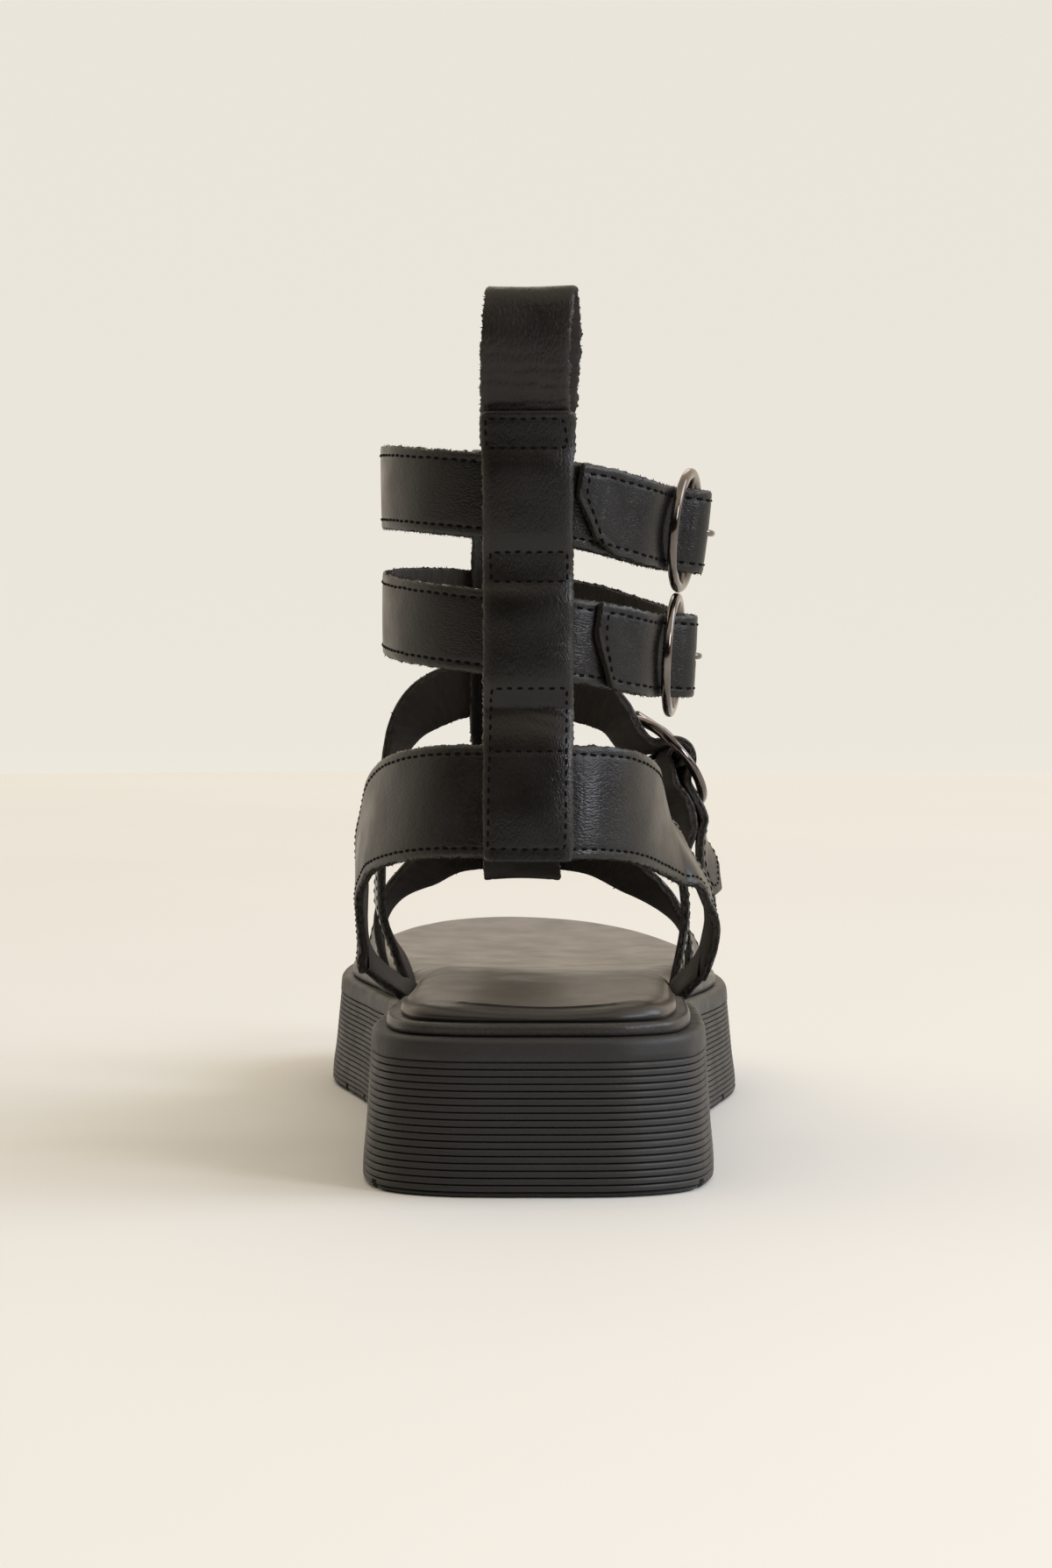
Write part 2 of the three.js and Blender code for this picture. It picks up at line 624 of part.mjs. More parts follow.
// Reads a line of samples {p, out} by its length.
function lineByLength(samples) {
  const lengths = [0];
  samples.slice(1).forEach((b, i) => lengths.push(lengths[i] + b.p.distanceTo(samples[i].p)));
  const read = (at) => {
    const i = Math.max(1, lengths.findIndex((length) => length >= at));
    const t = (at - lengths[i - 1]) / (lengths[i] - lengths[i - 1]);
    const [a, b] = [samples[i - 1], samples[i]];
    return { p: a.p.clone().lerp(b.p, t), out: a.out.clone().lerp(b.out, t).normalize() };
  };
  return { lengths, total: lengths[lengths.length - 1], read };
}

// An ankle strap: from its cut tip over the bar, round the front, inner side and back, and round the bar.
const ANKLE_SAMPLES = 240;
function ankleStrap({ z, roll, pitch, sag, buckleAround, facing, looseEnd, looseLift, tipCut }) {
  const height = (p) =>
    z - Math.tan(roll) * (p.x - ANKLE_MIDDLE) + Math.tan(pitch) * (p.y - 48) - sag * smooth((p.x - 6) / 20);
  const samples = range(ANKLE_SAMPLES + 1).map((i) => {
    const around = buckleAround + (360 * i) / ANKLE_SAMPLES;
    const wrapped = around > 180 ? around - 360 : around;
    const level = height(anklePoint(z, wrapped));
    return { p: anklePoint(level, wrapped), out: ankleNormal(level, wrapped) };
  });
  const { total, read } = lineByLength(samples);
  const base = straightened((s) => read(((s % total) + total) % total), facing);
  const inLoops = LINING + GAP + LEATHER / 2 + 0.2; // between the lining and the centre straps
  const beforeBar = OVER_BAR[0].lift;
  const lifts = [
    { s: -looseEnd, lift: looseLift },
    { s: -looseEnd * 0.6, lift: mix(beforeBar, looseLift, 0.45) },
    ...OVER_BAR,
    { s: 26, lift: inLoops },
    { s: total - 34, lift: inLoops },
    { s: total - 12, lift: 1.1 },
    { s: total - 5, lift: 1.2 },
  ];
  const point = (s) => {
    const { p, out } = base(s);
    return { p: p.clone().addScaledVector(out, liftAt(lifts, s)), out, low: tipLow(s, looseEnd, tipCut) };
  };
  const run = stepsBetween(-looseEnd, total - 5).map(point);
  const frames = framesAlong(foldRoundBar(base, run), { width: NARROW_STRAP, thick: LEATHER });
  const spot = buckleSpot(base);
  const slot = strapBody(frames.slice(0, run.length), { extra: GAP });
  return { solid: pierced(strapBody(frames), spot), slot, spot };
}

const degrees = THREE.MathUtils.degToRad;
const ANKLE_ROLL = degrees(6.5);
const upperAnkle = ankleStrap({
  z: 144.4,
  roll: ANKLE_ROLL,
  pitch: 0,
  sag: 2.4,
  buckleAround: 69.5,
  facing: -3,
  looseEnd: 31.2,
  looseLift: 6,
  tipCut: TIP_CUT,
});
const lowerAnkle = ankleStrap({
  z: 117.4,
  roll: ANKLE_ROLL,
  pitch: degrees(2.3),
  sag: 2,
  buckleAround: 70,
  facing: -2,
  looseEnd: 27,
  looseLift: 5,
  tipCut: TIP_CUT * 0.6,
});

// ---------------------------------------------------------------- instep strap
const INSTEP_Y = 101;
const SANDWICH = LEATHER * 1.5 - 0.1; // middle of a strap that is sewn between two layers of a centre strap

// The instep line from the inner side of the sole over the foot to the outer side. It is read by its length
// from the buckle, growing towards the ridge of the foot and the inner side.
const INSTEP_SAMPLES = 160;
const INSTEP_BUCKLE_OVER = 46; // degrees from the ridge
const INSTEP_FACING = 5;
function instepLine() {
  const overs = range(INSTEP_SAMPLES + 1).map((i) => mix(-90, 90, i / INSTEP_SAMPLES));
  const samples = overs.map((over) => ({ p: footPoint(INSTEP_Y, over), out: footNormal(INSTEP_Y, over) }));
  const { lengths, total, read } = lineByLength(samples);
  const zero = lengths[overs.findIndex((over) => over >= INSTEP_BUCKLE_OVER)];
  const curve = (s) => read(Math.min(Math.max(zero - s, 0), total));
  return { base: straightened(curve, INSTEP_FACING), inner: zero, outer: total - zero };
}

const instep = instepLine();
const INSTEP_LOOSE_END = 29;
const LOOSE_END_TWIST = 0.3; // its rear edge turns out from the foot

function instepStrap(extra = 0) {
  const lifts = [
    { s: -INSTEP_LOOSE_END, lift: 9.8 },
    { s: -22, lift: 6.9 },
    { s: -16, lift: 5.4 },
    ...OVER_BAR,
    { s: 24, lift: SANDWICH },
    { s: 46, lift: SANDWICH },
    { s: 60, lift: 1 },
    { s: instep.inner, lift: 1 },
  ];
  const run = stepsBetween(-INSTEP_LOOSE_END, instep.inner).map((s) => {
    const { p, out } = instep.base(s);
    const twist = LOOSE_END_TWIST * smooth((-s - 11) / 14);
    return {
      p: p.clone().addScaledVector(out, liftAt(lifts, s)),
      out: out.clone().add(vec(0, -twist, 0)),
      low: tipLow(s, INSTEP_LOOSE_END, TIP_CUT),
    };
  });
  const frames = framesAlong(run, { width: NARROW_STRAP, thick: LEATHER });
  return strapBody(frames, { extra });
}

function instepBuckleStrap(extra = 0) {
  const run = range(9).map((i) => {
    const s = mix(-instep.outer, -5, i / 8);
    const here = instep.base(s);
    return { p: here.p.clone().addScaledVector(here.out, 1.1), out: here.out };
  });
  const frames = framesAlong(foldRoundBar(instep.base, run), { width: NARROW_STRAP, thick: LEATHER });
  return strapBody(frames, { extra });
}

const instepSpot = buckleSpot(instep.base);

// ---------------------------------------------------------------- toe strap and heel strap
const TOE_STRAP_Y = 154;
const TOE_STEPS = 33;
function toeStrap(extra = 0) {
  const last = TOE_STEPS - 1;
  const run = range(TOE_STEPS).map((i) => {
    const over = mix(-90, 90, i / last);
    const lift = mix(1, SANDWICH, smooth((40 - Math.abs(over)) / 20));
    const out = footNormal(TOE_STRAP_Y, over);
    return { p: footPoint(TOE_STRAP_Y, over).addScaledVector(out, lift), out };
  });
  return strapBody(framesAlong(run, { width: TOE_STRAP_WIDTH, thick: LEATHER }), { columns: 3, extra });
}

// The heel strap's route: round the heel at one height, then down and forward to the waist on each side.
const HEEL_ROUTE = [
  { name: "inner end", step: -6, around: -94, z: 29 },
  { name: "inner leg", step: -5, around: -92, z: 42 },
  { name: "inner bend", step: -4, around: -88, z: 55 },
  { name: "inner side", step: -3, around: -80, z: 66 },
  { name: "inner quarter", step: -2, around: -65, z: 75.5 },
  { name: "inner corner", step: -1, around: -36, z: 80.6 },
  { name: "heel back", step: 0, around: 0, z: 81.6 },
  { name: "outer corner", step: 1, around: 36, z: 80.2 },
  { name: "outer quarter", step: 2, around: 65, z: 74 },
  { name: "outer side", step: 3, around: 80, z: 64.5 },
  { name: "outer bend", step: 4, around: 88, z: 53.5 },
  { name: "outer leg", step: 5, around: 92, z: 41 },
  { name: "outer end", step: 6, around: 94, z: 29 },
];

const HEEL_STEPS = 51;
function heelStrap(extra = 0) {
  const last = HEEL_STEPS - 1;
  const run = range(HEEL_STEPS).map((i) => {
    const { around, z } = rowAt(HEEL_ROUTE, "step", mix(-6, 6, i / last));
    const out = ankleNormal(z, around);
    return { p: anklePoint(z, around).addScaledVector(out, LINING + GAP + LEATHER / 2), out };
  });
  return strapBody(framesAlong(run, { width: HEEL_STRAP_WIDTH, thick: LEATHER }), { columns: 3, extra });
}

// ---------------------------------------------------------------- centre straps
// How far the ankle falls away from its back or front line at x.
function ankleDrop(z, x) {
  const s = rowAt(ANKLE_SECTIONS, "z", z);
  const width = x > ANKLE_MIDDLE ? s.outer : s.inner;
  const share = Math.abs(x - ANKLE_MIDDLE) / width;
  return ((s.front - s.back) / 2) * (1 - (1 - share ** s.square) ** (1 / s.square));
}

const STRAP_OVER = LINING + 2 * GAP + LEATHER * 1.5 + 0.55; // middle of the layer outside an ankle strap
const SEWN = LINING + GAP + LEATHER / 2; // middle of the outer layer where it is sewn down to the lining
const ON_HEEL = SEWN + LEATHER - 0.4; // and where it is sewn on the heel strap
const BACK_X = -2.1; // the back strap stands a little to the inner side

// The back strap's outer layer, from its foot on the heel strap up to the tab: lift off the ankle's back.
const BACK_STRAP = [
  { name: "foot", z: 69.6, lift: ON_HEEL, half: 9.4 },
  { name: "heel strap", z: 82, lift: ON_HEEL, half: 9.4 },
  { name: "heel strap, top edge", z: 94.6, lift: ON_HEEL, half: 9.4 },
  { name: "sewn above the heel strap", z: 101.5, lift: SEWN + 0.4, half: 9.4 },
  { name: "foot of the lower slot", z: 106.8, lift: STRAP_OVER, half: 9.4 },
  { name: "over the lower ankle strap", z: 117, lift: STRAP_OVER + 0.3, half: 9.4 },
  { name: "top of the lower slot", z: 127, lift: STRAP_OVER, half: 9.4 },
  { name: "sewn between the ankle straps", z: 130.6, lift: SEWN, half: 9.4 },
  { name: "foot of the upper slot", z: 134.3, lift: STRAP_OVER, half: 9.4 },
  { name: "over the upper ankle strap", z: 144, lift: STRAP_OVER + 0.3, half: 9.4 },
  { name: "tab, foot", z: 155.6, lift: STRAP_OVER, half: 9.8 },
  { name: "tab, top", z: 162.8, lift: STRAP_OVER - 0.2, half: 10 },
];

// A place on a layer behind the ankle, which follows the ankle's curve across its width. Its share of the
// width is counted towards the inner side.
function behindAnkle({ z, lift, x }) {
  const { back } = rowAt(ANKLE_SECTIONS, "z", z);
  return { p: vec(x, back - lift, z), bend: (share) => ankleDrop(z, x - (share * CENTRE_STRAP) / 2) };
}

const BACK_STEPS = 43;
function backStrap() {
  const last = BACK_STEPS - 1;
  const rows = range(BACK_STEPS).map((i) => {
    const row = rowAt(BACK_STRAP, "z", mix(BACK_STRAP[0].z, BACK_STRAP[BACK_STRAP.length - 1].z, i / last));
    return { ...behindAnkle({ ...row, x: BACK_X }), out: vec(0, -1, 0), width: 2 * row.half };
  });
  return strapBody(framesAlong(rows, { thick: LEATHER }), { columns: 4 });
}

// One strip: the lining up the inside of the back strap, the pull loop over its top and the end under the tab.
const LOOP_ROUTE = [
  { name: "lining foot", step: 0, z: 70.5, lift: LINING / 2, x: BACK_X, flat: 0 },
  { name: "heel strap", step: 1, z: 84, lift: LINING / 2, x: BACK_X, flat: 0 },
  { name: "sewn above the heel strap", step: 2, z: 101, lift: LINING / 2, x: BACK_X, flat: 0 },
  { name: "lower ankle strap", step: 3, z: 117, lift: LINING / 2, x: BACK_X, flat: 0 },
  { name: "sewn between the ankle straps", step: 4, z: 131, lift: LINING / 2, x: BACK_X, flat: 0 },
  { name: "upper ankle strap", step: 5, z: 144, lift: LINING / 2, x: BACK_X, flat: 0 },
  { name: "inside the tab", step: 6, z: 157, lift: LINING / 2, x: BACK_X + 0.3, flat: 0 },
  { name: "front wall", step: 7, z: 168, lift: -0.6, x: BACK_X + 1.1, flat: 0.7 },
  { name: "front wall, widest", step: 8, z: 178, lift: -1.6, x: BACK_X + 1.8, flat: 1 },
  { name: "front shoulder", step: 9, z: 185.2, lift: -0.6, x: BACK_X + 1.4, flat: 1 },
  { name: "top of the loop", step: 10, z: 187.4, lift: 2.1, x: BACK_X + 0.8, flat: 1 },
  { name: "back shoulder", step: 11, z: 185.2, lift: 4.8, x: BACK_X + 0.2, flat: 1 },
  { name: "back wall, widest", step: 12, z: 178, lift: 5.9, x: BACK_X - 0.4, flat: 1 },
  { name: "back wall", step: 13, z: 168.5, lift: 4.7, x: BACK_X - 0.7, flat: 0.7 },
  { name: "above the tab", step: 14, z: 162, lift: LINING * 1.5 + GAP + 0.2, x: BACK_X - 0.6, flat: 0 },
  { name: "end under the tab", step: 15, z: 156.2, lift: LINING * 1.5 + GAP + 0.1, x: BACK_X - 0.5, flat: 0 },
];

const LOOP_STEPS = 49;
function pullLoop() {
  const last = LOOP_ROUTE.length - 1;
  const points = range(LOOP_STEPS).map((i) => {
    const row = rowAt(LOOP_ROUTE, "step", (last * i) / (LOOP_STEPS - 1));
    return { ...behindAnkle(row), flat: Math.min(1, Math.max(0, row.flat)) };
  });
  const frames = points.map((point, i) => {
    const before = points[Math.max(0, i - 1)].p;
    const after = points[Math.min(points.length - 1, i + 1)].p;
    const along = after.clone().sub(before).normalize();
    const w = vec(-1, 0, 0).addScaledVector(along, along.x).normalize();
    const n = along.clone().cross(w).normalize();
    const bend = (share) => -Math.sign(n.y) * (1 - point.flat) * point.bend(share);
    return { p: point.p, n, w, bend, width: CENTRE_STRAP - 0.4, thick: LINING };
  });
  return strapBody(frames, { columns: 4 });
}

// The front strap is two layers sewn together, folded over the upper ankle strap. Its inner face lies on the
// last: place, how far each edge falls away, and the thickness of all its layers.
const FRONT_STRAP = [
  { name: "toe end", step: 0, x: -3.4, y: 168.6, z: 53.5, bowIn: 0.7, bowOut: 0.7, thick: 5.6 },
  { name: "toe strap, front", step: 1, x: -3.5, y: 161, z: 56.9, bowIn: 0.7, bowOut: 0.7, thick: 5.6 },
  { name: "toe strap, rear", step: 2, x: -4, y: 142, z: 66.1, bowIn: 0.7, bowOut: 0.7, thick: 5.6 },
  { name: "above the toe strap", step: 3, x: -4.3, y: 136, z: 70.2, bowIn: 0.6, bowOut: 0.7, thick: 3.6 },
  { name: "below the instep strap", step: 4, x: -5.8, y: 113, z: 89.2, bowIn: 0.3, bowOut: 0.9, thick: 3.6 },
  { name: "instep strap, front", step: 5, x: -6.1, y: 107.5, z: 94.2, bowIn: 0.2, bowOut: 1.1, thick: 5.6 },
  { name: "instep strap, rear", step: 6, x: -6, y: 96, z: 105.4, bowIn: 0.4, bowOut: 1.1, thick: 5.6 },
  { name: "foot of the lower slot", step: 7, x: -5.6, y: 90.4, z: 109.8, bowIn: 1.8, bowOut: 0.6, thick: 6.2 },
  { name: "lower slot", step: 8, x: -5.4, y: 86.6, z: 119.5, bowIn: 2.9, bowOut: 0.1, thick: 6.4 },
  { name: "top of the lower slot", step: 9, x: -5.3, y: 84.2, z: 129.8, bowIn: 3, bowOut: 0.1, thick: 6.2 },
  { name: "sewn between the slots", step: 10, x: -5.3, y: 83.9, z: 132.2, bowIn: 3, bowOut: 0.1, thick: 4.4 },
  { name: "foot of the upper slot", step: 11, x: -5.3, y: 83.7, z: 134.6, bowIn: 3, bowOut: 0.1, thick: 6.2 },
  { name: "upper slot", step: 12, x: -5.3, y: 83.6, z: 144, bowIn: 3, bowOut: 0, thick: 6.4 },
  { name: "top of the upper slot", step: 13, x: -5.3, y: 83.6, z: 154.8, bowIn: 3, bowOut: 0, thick: 6.2 },
  { name: "fold", step: 14, x: -5.3, y: 84.3, z: 157, bowIn: 3, bowOut: 0, thick: 4.6 },
  { name: "top of the fold", step: 15, x: -5.3, y: 85.2, z: 157.8, bowIn: 3, bowOut: 0, thick: 2.4 },
];

function frontStrap() {
  const last = FRONT_STRAP.length - 1;
  const count = last * 3;
  const rows = range(count + 1).map((i) => {
    const row = rowAt(FRONT_STRAP, "step", (last * i) / count);
    const bend = (share) => share * share * (share > 0 ? row.bowOut : row.bowIn);
    return { p: vec(row.x, row.y, row.z), out: vec(0, 1, 0.4), bend, thick: row.thick };
  });
  const frames = framesAlong(rows, { width: CENTRE_STRAP });
  for (const frame of frames) frame.p.addScaledVector(frame.n, frame.thick / 2);
  return strapBody(frames, { columns: 4 });
}

// ---------------------------------------------------------------- assembly
// Fills the sole up to its top and one gap more: the ends of the straps are trimmed to it.
function soleBlock() {
  const bottom = loopPoints(() => -4);
  const top = loopPoints(() => -4);
  for (const p of bottom) p.z = -2;
  for (const p of top) p.z = profileAt(p.y).top + GAP + 0.1;
  return loopBody([bottom, top], 2);
}

const ankleSlots = join([upperAnkle.slot, lowerAnkle.slot]);
const legSlots = join([heelStrap(GAP), toeStrap(GAP), instepStrap(GAP), instepBuckleStrap(GAP)]);
const trim = soleBlock();

const rearUpper = join([backStrap(), heelStrap()]).subtract(trim);
const frontUpper = join([
  toeStrap(),
  pierced(instepStrap(), instepSpot),
  frontStrap().subtract(ankleSlots),
]).subtract(trim);

const leather = new THREE.MeshStandardMaterial({ name: "strap_leather", color: 0x1c1a19, roughness: 0.55 });
const lining = new THREE.MeshStandardMaterial({ name: "lining_leather", color: 0x211d1b, roughness: 0.6 });
const cushion = new THREE.MeshStandardMaterial({ name: "footbed_leather", color: 0x1a1817, roughness: 0.5 });
const rubber = new THREE.MeshStandardMaterial({ name: "sole_rubber", color: 0x1b1b1c, roughness: 0.75 });
const gunmetal = new THREE.MeshStandardMaterial({
  name: "gunmetal",
  color: 0x5b5654,
  roughness: 0.22,
  metalness: 1,
});

const group = new THREE.Group();
group.name = "gladiator_sandal";
const add = (name, solid, material) => {
  const mesh = new THREE.Mesh(geometryOf(solid.translate([0, -HEEL_SEAT, 0])), material);
  mesh.name = name;
  group.add(mesh);
};

add("outsole", outsole(), rubber);
add("insole_board", insoleBoard().subtract(legSlots), cushion);
add("footbed", footbed().subtract(legSlots), cushion);
add("upper_rear", rearUpper, leather);
add("upper_front", frontUpper, leather);
add("pull_loop", pullLoop(), lining);
add("ankle_strap_top", upperAnkle.solid, leather);
add("ankle_strap_middle", lowerAnkle.solid, leather);
add("instep_buckle_strap", pierced(instepBuckleStrap(), instepSpot).subtract(trim), leather);
for (const [name, spot] of [
  ["top", upperAnkle.spot],
  ["middle", lowerAnkle.spot],
  ["instep", instepSpot],
]) {
  add(`buckle_${name}`, placed(buckleSolid(), spot), gunmetal);
  add(`prong_${name}`, placed(prongSolid(), spot), gunmetal);
}

export default group;
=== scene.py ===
"""The looks of a black leather gladiator sandal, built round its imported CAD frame.

Shapes are worked out in millimetres, with lengths along the shoe measured from the back of the heel, as in a
last maker's tables. to_frame() turns them into the frame's metres when a piece is made.
"""
import math
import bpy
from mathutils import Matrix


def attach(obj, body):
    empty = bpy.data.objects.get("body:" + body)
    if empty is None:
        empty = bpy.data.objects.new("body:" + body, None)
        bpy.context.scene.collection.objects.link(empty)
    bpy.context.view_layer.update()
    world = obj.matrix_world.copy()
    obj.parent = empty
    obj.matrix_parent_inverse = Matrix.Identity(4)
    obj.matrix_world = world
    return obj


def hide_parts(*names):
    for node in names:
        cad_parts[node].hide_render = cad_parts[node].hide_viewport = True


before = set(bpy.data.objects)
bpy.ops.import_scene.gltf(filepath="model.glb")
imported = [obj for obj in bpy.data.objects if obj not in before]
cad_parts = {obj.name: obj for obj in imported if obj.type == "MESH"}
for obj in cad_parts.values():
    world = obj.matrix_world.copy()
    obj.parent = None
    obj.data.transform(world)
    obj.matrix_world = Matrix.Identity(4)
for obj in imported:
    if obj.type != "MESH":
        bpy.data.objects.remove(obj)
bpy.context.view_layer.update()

from types import SimpleNamespace

import bmesh
import bpy
import numpy as np

# ---------------------------------------------------------------- driving sizes
MM = 0.001
SHOE_LENGTH = 258
HEEL_SEAT = 34  # the frame's origin is this far in front of the back of the heel
LEATHER = 2
LINING = 1.8
GAP = 0.3
NARROW_STRAP = 17.5
CENTRE_STRAP = 18.8
HEEL_STRAP_WIDTH = 23.5
TOE_STRAP_WIDTH = 26
BOARD_THICKNESS = 2.4
FOOTBED_THICKNESS = 3.9
SEAM_INSET = 1.9  # stitch line, in from a strap's edge
STITCH_PITCH = 2.2
STITCH_LENGTH = 1.5
THREAD_RADIUS = 0.31
ROW_STEP = 0.55  # rows of points along a strap
TIP_CUT = 6.3  # how far a loose end is cut back on its lower side
TIP_SQUARE = 0.2  # where the cut starts across its width, from -1 to 1


class Table:
    """Sizes in named rows and columns. at() reads them anywhere on a smooth curve through the rows."""

    def __init__(self, columns, *rows):
        self.columns = columns.split()
        self.values = np.array([row[1:] for row in rows], float)
        before = np.vstack([self.values[:1], self.values[:-1]])
        after = np.vstack([self.values[1:], self.values[-1:]])
        self.slopes = (after - before) / (after - before)[:, :1]

    def at(self, place):
        key = self.values[:, 0]
        place = min(max(place, key[0]), key[-1])
        i = min(int(np.searchsorted(key, place, side="right")) - 1, len(key) - 2)
        span = key[i + 1] - key[i]
        t = (place - key[i]) / span
        ends, slopes = self.values[i : i + 2], self.slopes[i : i + 2] * span
        found = hermite(*ends, *slopes, t)
        found[0] = place
        return SimpleNamespace(**dict(zip(self.columns, found)))

    def column(self, name, places):
        return np.array([getattr(self.at(place), name) for place in places])


def hermite(a, b, slope_a, slope_b, t):
    """The cubic from a to b with the given slopes, at t from 0 to 1."""
    return (
        (2 * t**3 - 3 * t**2 + 1) * a
        + (t**3 - 2 * t**2 + t) * slope_a
        + (3 * t**2 - 2 * t**3) * b
        + (t**3 - t**2) * slope_b
    )


# ---------------------------------------------------------------- tables of the sole and the last
OUTLINE = Table(
    "order x y",
    ("heel back", 0, 0, 0),
    ("heel back, outer", 1, 21, 1.7),
    ("heel corner, outer", 2, 32.2, 9),
    ("heel side, outer", 3, 37, 24),
    ("heel front, outer", 4, 38, 55),
    ("waist, outer", 5, 38, 95),
    ("behind the ball, outer", 6, 41.2, 130),
    ("ball, outer", 7, 49.6, 175),
    ("small toe", 8, 45.5, 209),
    ("toe bend, outer", 9, 25, 246),
    ("toe tip", 10, -8, SHOE_LENGTH),
    ("toe bend, inner", 11, -35, 247),
    ("big toe", 12, -48.6, 220),
    ("ball, inner", 13, -51.4, 194),
    ("behind the ball, inner", 14, -42, 151),
    ("waist, inner", 15, -35, 108),
    ("heel front, inner", 16, -35.6, 60),
    ("heel side, inner", 17, -37, 24),
    ("heel corner, inner", 18, -32.2, 9),
    ("heel back, inner", 19, -21, 1.7),
)

SOLE_PROFILE = Table(
    "y tread top flare",
    ("heel back", 0, 0, 33, 1),
    ("heel breast", 72, 0, 32.4, 1),
    ("arch", 104, 2.6, 30, 1.05),
    ("behind the ball", 138, 0, 27.4, 1.1),
    ("ball", 168, 0, 26.8, 1.15),
    ("toe joint", 200, 0, 27.4, 1.2),
    ("toes", 230, 3.6, 29.2, 1.2),
    ("toe tip", SHOE_LENGTH, 9, 31.4, 1.15),
)
TREAD_GROOVE = SimpleNamespace(width=3, depth=2.2)
TREAD_GROOVES = (13, 55, 76, 129, 150, 171, 192, 213, 234)

ANKLE_MIDDLE = -0.5
ANKLE = Table(
    "z back front inner outer square",
    ("in the sole", 24, 10, 134, 23.4, 27.4, 2.6),
    ("footbed", 34, 9, 134, 24.6, 28.6, 2.6),
    ("above the footbed", 44, 8, 133, 34, 34.4, 2.6),
    ("heel swell", 54, 7.4, 132, 35.3, 35.4, 2.6),
    ("above the swell", 64, 7.1, 130.6, 35.6, 31.6, 2.6),
    ("under the ankle bone", 72, 7.4, 129.4, 34.8, 27.4, 2.6),
    ("heel strap", 82, 8, 128, 33.4, 26, 2.6),
    ("tendon", 98, 11, 101, 30, 26, 2.4),
    ("ankle bend", 108, 12, 92, 28.8, 26, 2.3),
    ("lower ankle strap", 117, 12.5, 87.6, 28.4, 26.4, 2.3),
    ("between the ankle straps", 130, 12.5, 84.8, 28.4, 27.8, 2.3),
    ("upper ankle strap", 144, 12.5, 84, 28.6, 29.4, 2.3),
    ("collar", 172, 12, 84, 28.8, 32.8, 2.3),
)

SOLE_LINE = 27
TUCK_HEIGHT = 27
FOOT = Table(
    "y top ridge inner outer square_in square_out in_x in_y out_x out_y",
    ("ankle bend", 92, 109, -5, 29.4, 38, 4.4, 2.7, -26.4, 93, 29.6, 92),
    ("instep strap", 101, 100.5, -5, 30.4, 39, 4.4, 2.7, -26.6, 104, 29.8, 103),
    ("below the instep", 112, 90, -5, 31, 39.5, 3.6, 2.6, -27.4, 118, 31, 116),
    ("waist", 128, 76, -4.5, 33.2, 41, 2.8, 2.25, -30.4, 136, 33, 131),
    ("toe strap, rear", 141, 66.5, -4, 35.2, 42, 2.5, 2.2, -34.2, 151, 35.2, 145),
    ("toe strap", 153, 60.5, -4, 36.6, 43, 2.4, 2.15, -36.8, 163, 37.4, 157),
    ("toe strap, front", 166, 54.5, -4, 37.6, 44, 2.4, 2.1, -39.4, 176, 39.6, 169),
)


# ---------------------------------------------------------------- small helpers
def smooth(t):
    c = np.clip(t, 0, 1)
    return c * c * (3 - 2 * c)


def mix(a, b, t):
    return a + (b - a) * t


def power(value, exponent):
    return math.copysign(abs(value) ** exponent, value)


def unit(v):
    v = np.asarray(v, float)
    return v / np.linalg.norm(v, axis=-1, keepdims=True)


def vec(x, y, z):
    return np.array((x, y, z), float)


def to_frame(points):
    return (np.asarray(points, float) - (0, HEEL_SEAT, 0)) * MM


def spline(values, places, wanted):
    """A smooth curve through values at the given places, read at the wanted places."""
    steps = np.diff(places)
    column = (slice(None),) + (None,) * (values.ndim - 1)
    secants = np.diff(values, axis=0) / steps[column]
    before, after = steps[:-1][column], steps[1:][column]
    middle = (secants[:-1] * after + secants[1:] * before) / (before + after)
    slopes = np.concatenate([secants[:1], middle, secants[-1:]])
    i = np.clip(np.searchsorted(places, wanted, side="right") - 1, 0, len(places) - 2)
    span = steps[i][column]
    t = ((wanted - places[i]) / steps[i])[column]
    return hermite(values[i], values[i + 1], slopes[i] * span, slopes[i + 1] * span, t)


def lengths_along(points):
    return np.concatenate([[0], np.cumsum(np.linalg.norm(np.diff(points, axis=0), axis=1))])


def read_line(places, values, wanted):
    """Straight interpolation of each column of values."""
    return np.stack([np.interp(wanted, places, values[:, k]) for k in range(values.shape[1])], axis=-1)


# ---------------------------------------------------------------- the last
def ankle_point(z, around):
    s = ANKLE.at(z)
    angle = math.radians(around)
    width = s.outer if around > 0 else s.inner
    return vec(
        ANKLE_MIDDLE + width * power(math.sin(angle), 2 / s.square),
        (s.front + s.back) / 2 - (s.front - s.back) / 2 * power(math.cos(angle), 2 / s.square),
        z,
    )


def ankle_normal(z, around, dz=0.5, turn=1.5):
    up = ankle_point(z + dz, around) - ankle_point(z - dz, around)
    sideways = ankle_point(z, around + turn) - ankle_point(z, around - turn)
    return unit(np.cross(sideways, up))


def foot_point(y, over):
    s = FOOT.at(y)
    angle = math.radians(over)
    outer = over > 0
    exponent = 2 / (s.square_out if outer else s.square_in)
    share = power(math.cos(angle), exponent)
    z = mix(SOLE_LINE, s.top, share)
    tuck = smooth((z - SOLE_LINE) / TUCK_HEIGHT)
    width = mix(abs((s.out_x if outer else s.in_x) - s.ridge), s.outer if outer else s.inner, tuck)
    return vec(
        s.ridge + width * power(math.sin(angle), exponent),
        mix(s.out_y if outer else s.in_y, y, share),
        z,
    )


def foot_normal(y, over, dy=0.5, turn=1.5):
    forward = foot_point(y + dy, over) - foot_point(y - dy, over)
    across = foot_point(y, over + turn) - foot_point(y, over - turn)
    return -unit(np.cross(forward, across))


